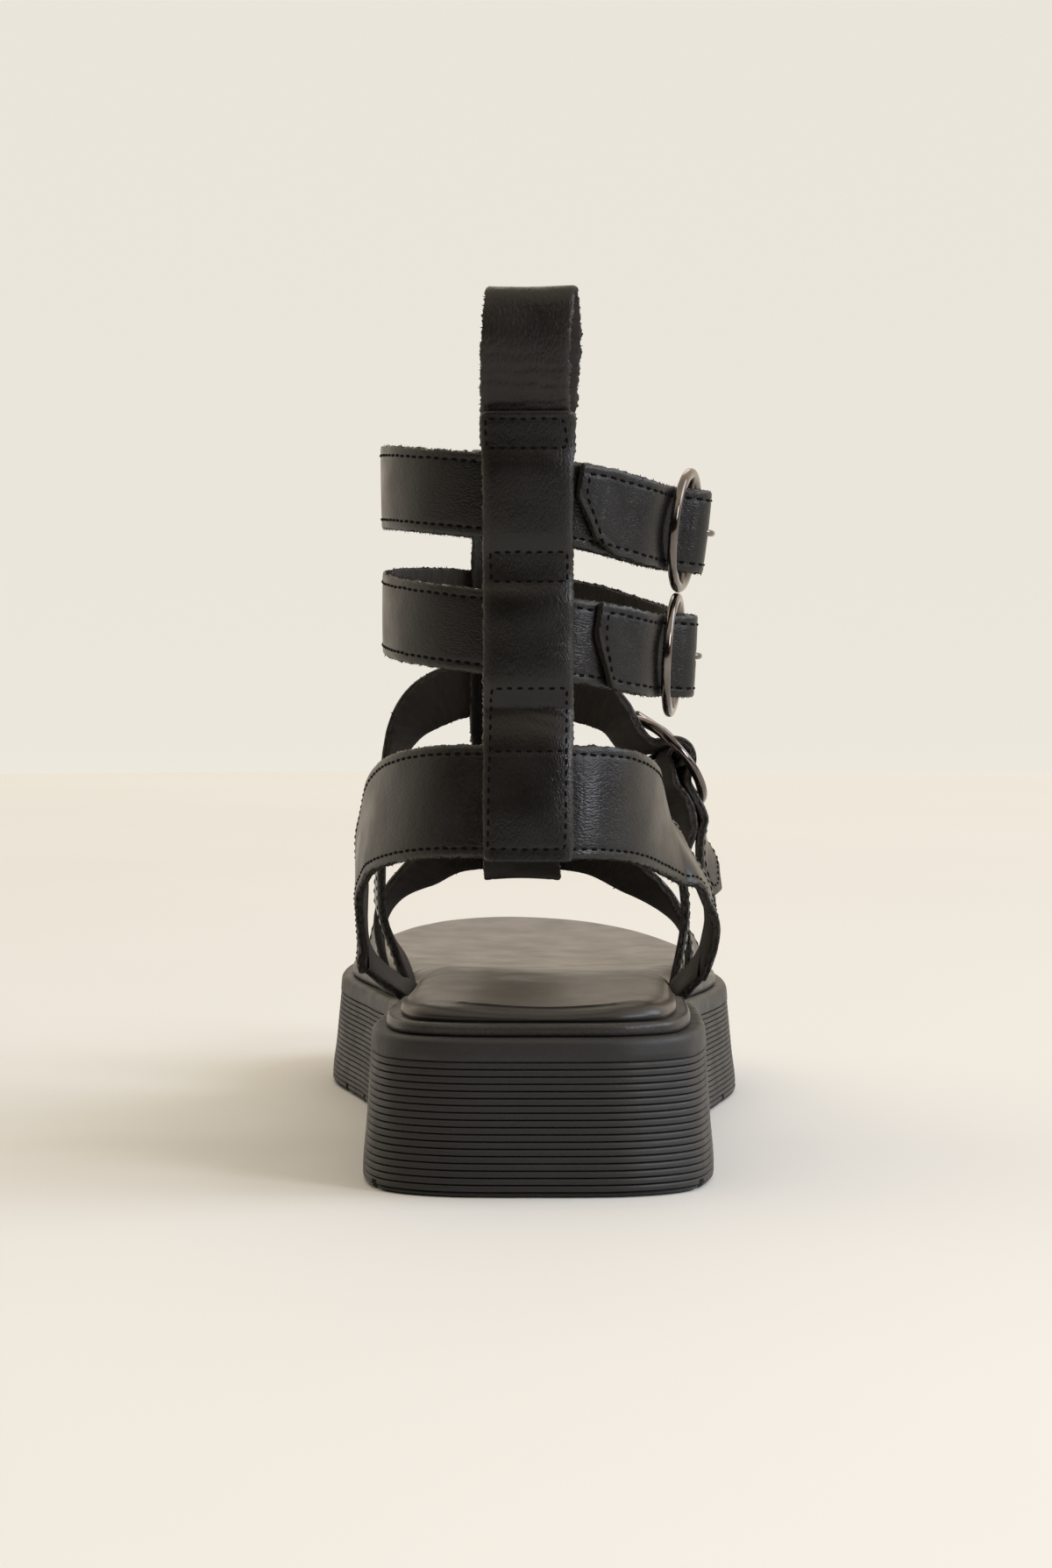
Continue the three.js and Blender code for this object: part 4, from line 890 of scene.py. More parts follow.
def bonded_thread(name, dark, light):
    """Bonded polyester thread: fine twisted strands with no shine, so a stitch is darker than its strap."""
    material, tree, shader, place = new_material(name)
    twist = {"Vector": place, "Scale": 1 / (1.2 * MM), "Distortion": 1.5}
    strands = add_node(tree, "TexWave", twist, bands_direction="DIAGONAL")
    relief = {"Height": strands.outputs["Fac"], "Distance": 0.05 * MM, "Strength": 0.8}
    twisted = add_node(tree, "Bump", relief).outputs["Normal"]
    colour = mottled(tree, place, 3, 0.3, 0.7, dark, light)
    fill(tree, shader, {"Base Color": colour, "Normal": twisted, "Roughness": 0.85, "Specular IOR Level": 0.12})
    return material


STRAP = grained_leather("milled_calf_leather_black", "#0e0d0b", "#131110", "#34332c", 0.37, 0.33, 0.055)
EDGE = cut_leather("cut_edge_brush_dyed", "#171512", "#37322c")
FLESH = flesh_leather("split_lining_leather_rubbed", "#1c1815", "#332b24")
LOOP = grained_leather("lining_calf_leather_black", "#12100e", "#1b1713", "#2f2b25", 0.55, 0.38, 0.1)
PAD = grained_leather("footbed_calf_leather_padded", "#181614", "#1f1c19", None, 0.6, 0.34, 0.003, None, 1.2)
brushed(PAD)
WRAP = grained_leather("board_wrap_leather_skived", "#2b2a28", "#343230", None, 0.5, 0.36, 0.05, None, 1.2)
RUBBER = moulded_rubber("moulded_nitrile_rubber_black", "#1a1a19", "#21201f")
GUNMETAL = plated_gunmetal("black_nickel_plated_zinc", "#5d5855", "#7c7571")
THREAD = bonded_thread("bonded_polyester_thread_black", "#020202", "#060505")
STRAP_FINISH = (STRAP, EDGE, FLESH)


# ---------------------------------------------------------------- sole
SIDE_STEPS = 170  # steps of the outline on each side, heel to toe


def sole_outline():
    """The outline as a closed ring: up the outer side from heel to toe tip, and back down the inner side."""
    corners = OUTLINE.values[:, 1:]
    count = len(corners)
    chords = np.sqrt(np.linalg.norm(np.roll(corners, -1, axis=0) - corners, axis=1))
    dense = []
    for i in range(count):
        p0, p1, p2, p3 = (corners[(i + k) % count] for k in (-1, 0, 1, 2))
        d0, d1, d2 = chords[i - 1], chords[i], chords[(i + 1) % count]
        slope1 = ((p1 - p0) / d0 - (p2 - p0) / (d0 + d1) + (p2 - p1) / d1) * d1
        slope2 = ((p2 - p1) / d1 - (p3 - p1) / (d1 + d2) + (p3 - p2) / d2) * d1
        dense += [hermite(p1, p2, slope1, slope2, t) for t in np.linspace(0, 1, 80, endpoint=False)]
    dense = np.array(dense + [dense[0]])
    tip = int(np.argmax(dense[:, 1]))

    def evened(side):
        places = lengths_along(side)
        return read_line(places, side, np.linspace(0, places[-1], SIDE_STEPS + 1))

    return np.vstack([evened(dense[: tip + 1]), evened(dense[tip:])[1:-1]])


RIM = sole_outline()
RIM_WAY = unit(np.roll(RIM, -1, axis=0) - np.roll(RIM, 1, axis=0))
RIM_IN = np.stack([-RIM_WAY[:, 1], RIM_WAY[:, 0]], axis=1)


def sole_ring(inset, height):
    """The outline moved in by inset (a number or one per point), as high as height says for each y."""
    ring = RIM + RIM_IN * np.broadcast_to(inset, len(RIM))[:, None]
    return np.column_stack([ring, height(ring[:, 1])])


PROFILE_Y = np.linspace(-2, SHOE_LENGTH + 2, 400)
PROFILE = {name: SOLE_PROFILE.column(name, PROFILE_Y) for name in ("tread", "top", "flare")}


def tread_at(y):
    tread = np.maximum(0, np.interp(y, PROFILE_Y, PROFILE["tread"]))
    return np.where((y < 72) | ((y > 138) & (y < 200)), 0, tread)


def top_at(y):
    return np.interp(y, PROFILE_Y, PROFILE["top"])


def board_top(y):
    return top_at(y) + GAP + BOARD_THICKNESS


def ringed(rings, across=2, crown=None):
    """Closes a body from stacked rings. Its top is a grid across the shoe, crown(x, y, share) high."""
    count = len(rings[0])
    half = count // 2
    points = list(np.vstack(rings))
    faces = list(ring_faces(len(rings), count))
    for level, top in ((0, False), (len(rings) - 1, True)):
        base = level * count
        rows = []
        for i in range(half + 1):
            outer, inner = base + i, base + (count - i) % count
            if outer == inner:
                rows.append([outer])
                continue
            columns = across if top else 2
            row = [outer]
            for j in range(1, columns - 1):
                share = j / (columns - 1)
                p = mix(points[outer], points[inner], share)
                if crown is not None:
                    p = vec(p[0], p[1], crown(p[0], p[1], share))
                points.append(p)
                row.append(len(points) - 1)
            rows.append(row + [inner])
        for a, b in zip(rows, rows[1:]):
            for j in range(max(len(a), len(b)) - 1):
                after = min(j + 1, len(a) - 1), min(j + 1, len(b) - 1)
                corners = [a[min(j, len(a) - 1)], b[min(j, len(b) - 1)], b[after[1]], a[after[0]]]
                corners = [c for k, c in enumerate(corners) if c != corners[k - 1]]
                faces.append(corners if top else corners[::-1])
    return Shape(points, faces).facing_out()


RIBS = SimpleNamespace(count=18, start=0.035, end=0.85, depth=0.55)
WALL = Table(
    "up inset",
    ("tread edge", 0, 1.3),
    ("tread chamfer", 0.035, 0),
    ("ribbed wall, middle", 0.4, 0.8),
    ("ribbed wall, top", 0.85, 1.8),
)
# One rib from groove to groove: share of its height, and how deep the surface lies, as a share of the groove.
RIB = ((0.0, 1.0), (0.05, 0.8), (0.1, 0.25), (0.16, 0.04), (0.5, 0.0), (0.83, 0.03), (0.9, 0.22), (0.95, 0.8))
# Below the ribs, the rounded tread edge, and above them the smooth band: share of the height and inset.
TREAD_EDGE = [(0.0, 1.3), (0.012, 0.55), (0.024, 0.12)]
BAND = [
    (0.85, 2.25), (0.853, 1.95), (0.862, 1.72), (0.9, 1.78), (0.95, 1.88),
    (0.97, 1.98), (0.984, 2.2), (0.994, 2.6), (0.999, 3.1), (1.0, 3.8),
]
GROOVE_REACH = 70  # a tread groove's cutter ends past the sole on both sides


def outsole():
    """The ribbed wall, the smooth band above it and the tread, with its grooves cut across."""
    levels = list(TREAD_EDGE)
    rib_height = (RIBS.end - RIBS.start) / RIBS.count
    for rib in range(RIBS.count):
        for share, depth in RIB:
            up = RIBS.start + (rib + share) * rib_height
            levels.append((up, WALL.at(up).inset + RIBS.depth * depth))
    levels += BAND
    flare = np.interp(RIM[:, 1], PROFILE_Y, PROFILE["flare"])

    def ring(up, inset):
        return sole_ring(inset * flare, lambda y: mix(tread_at(y), top_at(y), up))

    body = ringed([ring(up, inset) for up, inset in levels])
    grooves = []
    for y in TREAD_GROOVES:
        half, floor = TREAD_GROOVE.width / 2, float(tread_at(np.array(y)))
        low, high = floor - 3, floor + TREAD_GROOVE.depth
        section = ((y - half, low), (y + half, low), (y + half * 0.8, high), (y - half * 0.8, high))
        ends = [(x, b, c) for x in (-GROOVE_REACH, GROOVE_REACH) for b, c in section]
        grooves.append(Shape(ends, tube_faces(2, 4)).facing_out())
    make_piece("outsole", body, [RUBBER], "outsole", cutters=[joined(grooves)], sharp=45)


# The rounded edges of the board and the footbed, from the foot up: inset and height.
BOARD_EDGE = (
    (5.6, 0.05), (5.25, 0.25), (5.1, 0.6), (5.12, 1.7), (5.25, 2.2), (5.6, 2.55), (6.2, 2.7), (7.4, 2.7),
)
FOOTBED_EDGE = (
    (9.1, 0.0), (8.6, 0.0), (8.3, 0.3), (8.15, 0.75), (8.25, 1.35),
    (8.6, 1.95), (9.2, 2.55), (10.0, 3.05), (11.0, 3.45), (12.2, 3.75),
)


def insole_board():
    """The wrapped board: a low ledge with a soft upper edge and a pressed line round its foot."""
    rings = [sole_ring(inset, lambda y, h=h: top_at(y) + h) for inset, h in BOARD_EDGE]
    body = ringed(rings)
    make_piece("insole_board", body, [WRAP], "insole_board", cutters=leg_cutters())


def footbed_top(x, y, share):
    """The height of the footbed: hollowed under the ball and the heel, and raised under the inner arch."""
    x, y, share = np.asarray(x, float), np.asarray(y, float), np.asarray(share, float)
    middle = 1 - (2 * share - 1) ** 2
    ball = 0.7 * middle * smooth((y - 110) / 50) * smooth((SHOE_LENGTH - 12 - y) / 20)
    arch = 1.2 * smooth((share - 0.45) / 0.5) * np.exp(-(((y - 100) / 34) ** 2))
    dip = 1.3 * (1 - smooth(np.abs(x - 2) / 26)) * (1 - smooth((y - 5) / 62))
    return board_top(y) + GAP + FOOTBED_THICKNESS - ball - dip + arch


def footbed():
    """The padded footbed: a rolled edge, a cupped heel and a raised arch under one skin."""
    sides = np.where(np.arange(len(RIM)) <= SIDE_STEPS, 0.0, 1.0)
    rings = []
    for inset, height in FOOTBED_EDGE:
        share = height / FOOTBED_THICKNESS
        ring = sole_ring(inset, board_top)
        blend = smooth((np.minimum(ring[:, 1], SHOE_LENGTH - ring[:, 1]) - 8) / 10)
        crown = footbed_top(ring[:, 0], ring[:, 1], sides) - board_top(ring[:, 1]) - GAP
        crown = mix(np.minimum(FOOTBED_THICKNESS, crown), crown, blend)
        ring[:, 2] += 0.05 + crown * share
        rings.append(ring)
    body = ringed(rings, across=26, crown=footbed_top)
    piece = make_piece("footbed", body, [PAD], "footbed", cutters=leg_cutters())


# ---------------------------------------------------------------- ankle straps
ANKLE_ROLL = math.tan(math.radians(6.5))
PITCH_MIDDLE = 48  # the middle of the ankle, from the back of the heel
BELOW_FOLD = 8  # edge seams stop this far before the fold round the bar


def ankle_line(z, pitch, sag, buckle_around, facing):
    """The middle of an ankle strap, round from its buckle: at height z in the middle of the ankle, lower
    towards the outer side, tilted lengthwise by pitch, and hanging by sag where the buckle weighs on it."""
    points, outs = [], []
    for turn in np.linspace(0, 360, 481):
        around = buckle_around + turn
        around = around - 360 if around > 180 else around
        flat = ankle_point(z, around)
        level = z - ANKLE_ROLL * (flat[0] - ANKLE_MIDDLE) + pitch * (flat[1] - PITCH_MIDDLE)
        level -= sag * smooth((flat[0] - 6) / 20)
        points.append(ankle_point(level, around))
        outs.append(ankle_normal(level, around))
    return Line(points, outs, closed=True, facing=facing)


PUNCHED = (14.5, 26, 37.5)  # the adjusting holes, from the prong's


def ankle_strap(name, line, loose_end, loose_lift, cut, seed):
    total = line.total
    in_loops = LINING + GAP + LEATHER / 2 + 0.2
    lifts = Table(
        "s lift",
        ("tip", -loose_end, loose_lift),
        ("loose end", -loose_end * 0.6, 3.45 + (loose_lift - 3.45) * 0.45),
        *OVER_BAR,
        ("leaving the buckle", 26, in_loops),
        ("under the back strap", total - 34, in_loops),
        ("coming to the buckle", total - 12, 1.1),
        ("before the fold", total - 5, 1.2),
    )
    s = steps_between(-loose_end, total - 5)
    run = lifted(line, s, lifts)
    run["low"] = tip_low(s, loose_end, cut)
    strip = Strip(fold_round_bar(line, run), NARROW_STRAP, relief=slow_waves(seed))
    end = strip.total - BELOW_FOLD
    prong_at = float(np.interp(0.9, s, lengths_along(run["p"])))
    holes = [punch(strip, prong_at + along) for along in PUNCHED]
    cutter = joined([*prong_cuts(line), *holes])
    strap_and_seams(name, strip, seed, name, [tip_seam(end, cut)], [cutter])


def slow_waves(seed, size=0.1):
    """Leather is never quite flat: low swells a few centimetres long."""
    turn = seed * 1.7
    return lambda s, u: size * (np.sin(s / 6.3 + turn + u / 9) + 0.6 * np.sin(s / 3.1 - u / 5 + 2 * turn))


def punch(strip, s, radius=1.1):
    """A cutter for a punched hole through the middle of a strap."""
    (centre,), (n,), _, _ = strip.spot([s], [0])
    return cylinder(centre + n * 1.2, centre - n * 3.4, radius)


# ---------------------------------------------------------------- instep, toe and heel straps
INSTEP_Y = 101
INSTEP_BUCKLE_OVER = 46  # degrees from the ridge
INSTEP_FACING = 5
INSTEP_LOOSE_END = 29
LOOSE_END_TWIST = 0.3  # its rear edge turns in under it
SANDWICH = LEATHER * 1.5 - 0.1


def instep_line():
    overs = np.linspace(-90, 90, 321)
    points = [foot_point(INSTEP_Y, over) for over in overs]
    outs = [foot_normal(INSTEP_Y, over) for over in overs]
    line = Line(points, outs, way=-1, facing=INSTEP_FACING)
    line.zero = float(line.places[int(np.argmax(overs >= INSTEP_BUCKLE_OVER))])
    return line


def instep_strip():
    line = INSTEP
    inner = line.zero
    lifts = Table(
        "s lift",
        ("tip", -INSTEP_LOOSE_END, 9.8),
        ("loose end", -22, 6.9),
        ("loose end, near the ring", -16, 5.4),
        *OVER_BAR,
        ("into the front strap", 24, SANDWICH),
        ("out of the front strap", 46, SANDWICH),
        ("on the foot again", 60, 1),
        ("sole", inner, 1),
    )
    s = steps_between(-INSTEP_LOOSE_END, inner)
    run = lifted(line, s, lifts)
    run["low"] = tip_low(s, INSTEP_LOOSE_END, TIP_CUT)
    twist = LOOSE_END_TWIST * smooth((-s - 11) / 14)
    run["out"] = run["out"] - vec(0, 1, 0) * twist[:, None]
    return Strip(run, NARROW_STRAP, relief=slow_waves(3))


def instep_buckle_strip():
    line = INSTEP
    s = np.linspace(line.zero - line.total, -5, 12)
    p, out = line.held(s)
    return Strip(fold_round_bar(line, {"p": p + out * 1.1, "out": out}), NARROW_STRAP, relief=slow_waves(4))


def toe_strip():
    overs = np.linspace(-90, 90, 61)
    lifts = mix(1, SANDWICH, smooth((40 - np.abs(overs)) / 20))
    outs = np.array([foot_normal(154, over) for over in overs])
    points = np.array([foot_point(154, over) for over in overs]) + outs * lifts[:, None]
    return Strip({"p": points, "out": outs}, TOE_STRAP_WIDTH, relief=slow_waves(5))


HEEL_ROUTE = Table(
    "step around z",
    ("inner end", -6, -94, 29),
    ("inner leg", -5, -92, 42),
    ("inner bend", -4, -88, 55),
    ("inner side", -3, -80, 66),
    ("inner quarter", -2, -65, 75.5),
    ("inner corner", -1, -36, 80.6),
    ("heel back", 0, 0, 81.6),
    ("outer corner", 1, 36, 80.2),
    ("outer quarter", 2, 65, 74),
    ("outer side", 3, 80, 64.5),
    ("outer bend", 4, 88, 53.5),
    ("outer leg", 5, 92, 41),
    ("outer end", 6, 94, 29),
)


def heel_strip():
    points, outs = [], []
    for step in np.linspace(-6, 6, 97):
        row = HEEL_ROUTE.at(step)
        out = ankle_normal(row.z, row.around)
        points.append(ankle_point(row.z, row.around) + out * (LINING + GAP + LEATHER / 2))
        outs.append(out)
    return Strip({"p": np.array(points), "out": np.array(outs)}, HEEL_STRAP_WIDTH, relief=slow_waves(6))


INSTEP = instep_line()
STRIPS = {
    "heel_strap": heel_strip(),
    "toe_strap": toe_strip(),
    "instep_strap": instep_strip(),
    "instep_buckle_strap": instep_buckle_strip(),
}


def leg_cutters():
    """The straps' ends, one gap larger all round, to cut their slots in the board and the footbed."""
    shapes = []
    for strip in STRIPS.values():
        for start in (0, strip.total - 26):
            s = np.linspace(start, start + 26, 14)
            p = read_line(strip.s, strip.p, s)
            if p[:, 2].min() > 40:
                continue
            n, w = unit(read_line(strip.s, strip.n, s)), unit(read_line(strip.s, strip.w, s))
            half, deep = strip.width / 2 + GAP, LEATHER / 2 + GAP
            around = ((-1, -1), (1, -1), (1, 1), (-1, 1))
            corners = np.stack([p + w * a * half + n * b * deep for a, b in around], axis=1)
            shapes.append(Shape(corners.reshape(-1, 3), tube_faces(len(s), 4)).facing_out())
    return shapes


def edge_seams(strip, start=1.5, end=1.5):
    half = strip.width / 2 - SEAM_INSET
    return [((start, side * half), (strip.total - end, side * half)) for side in (-1, 1)]


def lower_straps():
    heel, toe, instep, buckle_end = STRIPS.values()
    hole, slot = prong_cuts(INSTEP)
    straps = (
        # name, seed, replaced node, cutters, seams
        ("heel_strap", 6, "upper_rear", (), edge_seams(heel)),
        ("toe_strap", 5, "upper_front", (), edge_seams(toe)),
        ("instep_strap", 3, "upper_front", [hole], [tip_seam(instep.total - 2)]),
        ("instep_buckle_strap", 4, "instep_buckle_strap", [slot], edge_seams(buckle_end, 1.5, BELOW_FOLD)),
    )
    for name, seed, replaced, cutters, _ in straps:
        strap_and_seams(name, STRIPS[name], seed, replaced, cutters=cutters)
    for name, seed, _, _, seams in straps:
        sew(name, STRIPS[name], seed, seams)


# ---------------------------------------------------------------- back strap and pull loop
BACK_X = -2.1
STRAP_OVER = LINING + 2 * GAP + LEATHER * 1.5 + 0.55
SEWN = LINING + GAP + LEATHER / 2
ON_HEEL = SEWN + LEATHER - 0.4
BACK_STRAP = Table(
    "z lift half",
    ("foot", 69.6, ON_HEEL, 9.4),
    ("heel strap", 82, ON_HEEL, 9.4),
    ("heel strap, top edge", 94.6, ON_HEEL, 9.4),
    ("sewn above the heel strap", 101.5, SEWN + 0.4, 9.4),
    ("foot of the lower slot", 106.8, STRAP_OVER, 9.4),
    ("over the lower ankle strap", 117, STRAP_OVER + 0.4, 9.4),
    ("top of the lower slot", 123.5, STRAP_OVER + 0.2, 9.4),
    ("middle box, foot", 127.4, STRAP_OVER - 0.9, 9.4),
    ("middle box", 130.6, STRAP_OVER - 1.1, 9.4),
    ("middle box, head", 133.8, STRAP_OVER - 0.9, 9.4),
    ("foot of the upper slot", 137.5, STRAP_OVER - 0.1, 9.4),
    ("over the upper ankle strap", 144, STRAP_OVER + 0.4, 9.4),
    ("top of the upper slot", 151, STRAP_OVER + 0.4, 9.5),
    ("tab, foot", 155.6, STRAP_OVER - 0.5, 9.8),
    ("tab, top", 162.8, STRAP_OVER - 0.3, 10),
)
# The sewn boxes on the back strap: heights of their foot and head, and the x of their sides at each.
SEWN_BOXES = (
    # box, foot, head, left at the foot, left at the head, right at the foot, right at the head
    ("heel", 72.3, 105.8, -10.4, -9.7, 5.6, 6.0),
    ("between the ankle straps", 127.4, 133.8, -9.6, -9.9, 6.0, 6.0),
    ("tab", 155.0, 161.2, -10.6, -10.9, 6.0, 5.4),
)
CROSS_SEAM = 92.3


def fall_behind_ankle(strip, share):
    x = strip.p[:, :1] + strip.w[:, :1] * share * CENTRE_STRAP / 2
    drop = np.array([ankle_drop(z, row) for z, row in zip(strip.p[:, 2], x)])
    return drop * (1 - np.clip(strip.columns.get("flat", np.zeros(len(strip.s))), 0, 1))[:, None]


def forwards(strip):
    return np.tile(vec(0, 1, 0), (len(strip.s), 1))


def back_strap():
    """The strap up the middle of the back, with its tab over the foot of the pull loop."""
    z = np.linspace(69.6, 162.8, 60)
    rows = [BACK_STRAP.at(v) for v in z]
    back = ANKLE.column("back", z)
    points = {
        "p": np.array([(BACK_X, b - row.lift, v) for b, row, v in zip(back, rows, z)]),
        "out": np.tile(vec(0, -1, 0), (len(z), 1)),
        "half": np.array([row.half for row in rows]),
    }
    places = lengths_along(points["p"])

    def s_of(height):
        return float(np.interp(height, z, places))

    seams, levels = [], [(s_of(CROSS_SEAM), 0.08)]
    for _, foot, head, *sides in SEWN_BOXES:
        foot, head = s_of(foot), s_of(head)
        left_foot, left_head, right_foot, right_head = (BACK_X - x for x in sides)
        start = (foot, left_foot)
        seams.append((start, (head, left_head), (head, right_head), (foot, right_foot), start))
        levels += [(foot, 0.08), (head, 0.08)]
    seams.append(((s_of(CROSS_SEAM), 7.3), (s_of(CROSS_SEAM), -7.8)))

    def pressed(s, u):
        dip = sum(-deep * np.exp(-(((s - level) / 0.55) ** 2)) for level, deep in levels)
        near = np.exp(-(((s - s_of(99)) / 3.2) ** 2)) * smooth((2 - u) / 8)
        crumple = 0.1 * np.sin((s - 0.35 * u) * 2.1) * near
        return dip * smooth((9 - np.abs(u)) / 2) + crumple + slow_waves(7, 0.12)(s, u)

    strip = Strip(points, CENTRE_STRAP, sag=fall_behind_ankle, sag_way=forwards, relief=pressed, corner=1.6,
                  grooved=False, crown=0.2)
    strap_and_seams("back_strap", strip, 7, "upper_rear", seams, rough=0.12, fibres=(1.4, 1.6, 0.6))


PULL_LOOP = Table(
    "step z lift x flat",
    ("lining foot", 0, 70.5, LINING / 2, BACK_X, 0),
    ("heel strap", 1, 84, LINING / 2, BACK_X, 0),
    ("sewn above the heel strap", 2, 101, LINING / 2, BACK_X, 0),
    ("lower ankle strap", 3, 117, LINING / 2, BACK_X, 0),
    ("sewn between the ankle straps", 4, 131, LINING / 2, BACK_X, 0),
    ("upper ankle strap", 5, 144, LINING / 2, BACK_X, 0),
    ("inside the tab", 6, 157, LINING / 2, BACK_X + 0.3, 0),
    ("front wall", 7, 168, -0.6, BACK_X + 1.1, 0.7),
    ("front wall, widest", 8, 178, -1.6, BACK_X + 1.8, 1),
    ("front shoulder", 9, 185.2, -0.6, BACK_X + 1.4, 1),
    ("top of the loop", 10, 187.4, 2.1, BACK_X + 0.8, 1),
    ("back shoulder", 11, 185.2, 4.8, BACK_X + 0.2, 1),
    ("back wall, widest", 12, 178, 5.9, BACK_X - 0.4, 1),
    ("back wall", 13, 168.5, 4.7, BACK_X - 0.7, 0.7),
    ("above the tab", 14, 162, LINING * 1.5 + GAP + 0.2, BACK_X - 0.6, 0),
    ("end under the tab", 15, 156.2, LINING * 1.5 + GAP + 0.1, BACK_X - 0.5, 0),
)
# Creases across the back wall of the loop, above the tab: height, depth and climb to the outer side.
LOOP_CREASES = (
    (164.2, 0.18, 0.05),
    (166.4, 0.12, 0.02),
    (168.9, 0.16, -0.06),
    (171.6, 0.1, 0.04),
    (174.2, 0.07, -0.03),
)


def pull_loop():
    """One strip: the lining up the inside, the loop over the top and its end under the tab."""
    rows = [PULL_LOOP.at(step) for step in np.linspace(0, 15, 91)]
    points = np.array([(row.x, ANKLE.at(row.z).back - row.lift, row.z) for row in rows])
    along = unit(np.gradient(points, axis=0))
    outs = np.cross(along, (1, 0, 0))
    flat = np.clip([row.flat for row in rows], 0, 1)
    places = lengths_along(points)
    back_wall = np.argmax(points[:, 2])
    heights, back_places = points[back_wall:, 2][::-1], places[back_wall:][::-1]

    def creased(s, u):
        total = slow_waves(8, 0.1)(s, u)
        for height, deep, climb in LOOP_CREASES:
            middle = np.interp(height, heights, back_places)
            total = total - deep * np.exp(-(((s - middle + climb * u + 0.25 * np.sin(u * 0.9)) / 0.5) ** 2))
        return total

    line = {"p": points, "out": outs, "flat": flat, "thick": np.full(len(points), LINING)}
    strip = Strip(line, CENTRE_STRAP - 0.4, sag=fall_behind_ankle, sag_way=forwards, relief=creased,
                  grooved=False)
    strap_and_seams("pull_loop", strip, 8, "pull_loop", finish=(LOOP, EDGE, FLESH),
                    rough=0.2, fibres=(2.6, 2.6, 0.7))


# ---------------------------------------------------------------- front strap
FRONT_STRAP = Table(
    "step x y z bow_in bow_out thick",
    ("toe end", 0, -3.4, 168.6, 53.5, 0.7, 0.7, 5.6),
    ("toe strap, front", 1, -3.5, 161, 56.9, 0.7, 0.7, 5.6),
    ("toe strap, rear", 2, -4, 142, 66.1, 0.7, 0.7, 5.6),
    ("above the toe strap", 3, -4.3, 136, 70.2, 0.6, 0.7, 3.6),
    ("below the instep strap", 4, -5.8, 113, 89.2, 0.3, 0.9, 3.6),
    ("instep strap, front", 5, -6.1, 107.5, 94.2, 0.2, 1.1, 5.6),
    ("instep strap, rear", 6, -6, 96, 105.4, 0.4, 1.1, 5.6),
    ("foot of the lower slot", 7, -5.6, 90.4, 109.8, 1.8, 0.6, 6.2),
    ("lower slot", 8, -5.4, 86.6, 119.5, 2.9, 0.1, 6.4),
    ("top of the lower slot", 9, -5.3, 84.2, 129.8, 3, 0.1, 6.2),
    ("sewn between the slots", 10, -5.3, 83.9, 132.2, 3, 0.1, 4.4),
    ("foot of the upper slot", 11, -5.3, 83.7, 134.6, 3, 0.1, 6.2),
    ("upper slot", 12, -5.3, 83.6, 144, 3, 0, 6.4),
    ("top of the upper slot", 13, -5.3, 83.6, 153.7, 3, 0, 6.2),
)
FRONT_SEAMS = (0.3, 3, 4, 6.75, 9.9, 12.95)  # cross seams, as steps of the table


def front_strap():
    """Two layers down the front that are one strip, folded over above the upper ankle strap."""
    steps = np.linspace(0, 13, 79)
    rows = [FRONT_STRAP.at(step) for step in steps]
    inside = np.array([(row.x, row.y, row.z) for row in rows])
    along = unit(np.gradient(inside, axis=0))
    rough_out = vec(0, 1, 0.4)
    out = unit(rough_out - along * (along @ rough_out)[:, None])
    thick = np.array([row.thick for row in rows])
    inner = inside + out * 0.95
    outer = inside + out * (thick - 0.95)[:, None]
    middle, radius = (inner[-1] + outer[-1]) / 2, np.linalg.norm(outer[-1] - inner[-1]) / 2
    turns = np.radians([30, 60, 90, 120, 150])
    fold_outs = np.array([-out[-1] * math.cos(turn) + along[-1] * math.sin(turn) for turn in turns])
    bow = {name: np.array([getattr(row, name) for row in rows]) for name in ("bow_in", "bow_out")}

    def there_and_back(values, over_fold):
        return np.concatenate([values, over_fold, values[::-1]])

    points = {
        "p": np.vstack([inner, middle + fold_outs * radius, outer[::-1]]),
        "out": np.vstack([-out, fold_outs, out[::-1]]),
        "way": np.vstack([-out, np.tile(-out[-1], (5, 1)), -out[::-1]]),
        "bow_in": there_and_back(bow["bow_in"], np.full(5, 3.0)),
        "bow_out": there_and_back(bow["bow_out"], np.zeros(5)),
        "thick": np.full(2 * len(rows) + 5, 1.9),
    }
    places = lengths_along(points["p"])
    outer_places = places[len(rows) + 5 :][::-1]
    seam_places = [float(np.interp(step, steps, outer_places)) for step in FRONT_SEAMS]
    half = CENTRE_STRAP / 2 - SEAM_INSET

    def bowed(strip, share):
        amount = np.where(share > 0, strip.columns["bow_in"][:, None], strip.columns["bow_out"][:, None])
        return share**2 * amount

    def pressed(s, u):
        dip = sum(-0.08 * np.exp(-(((s - place) / 0.5) ** 2)) for place in seam_places)
        return dip + slow_waves(9)(s, u)

    def bow_way(strip):
        return unit(strip.columns["way"])

    strip = Strip(points, CENTRE_STRAP, sag=bowed, sag_way=bow_way, relief=pressed)
    start = float(places[len(rows) + 4]) + 2
    seams = [((place, half), (place, -half)) for place in seam_places]
    seams += [((start, side * half), (strip.total - 1.8, side * half)) for side in (-1, 1)]
    strap_and_seams("front_strap", strip, 9, "upper_front", seams, fibres=(1.4, 1.4, 0.5))


# ---------------------------------------------------------------- buckles
def squared(half_width, half_height, power_out, power_up, sides):
    """A closed section between a circle and a box: its offsets outwards and upwards."""
    angles = np.arange(sides) * 2 * math.pi / sides
    cos, sin = np.cos(angles), np.sin(angles)
    out = half_width * np.sign(cos) * np.abs(cos) ** power_out
    return out, half_height * np.sign(sin) * np.abs(sin) ** power_up


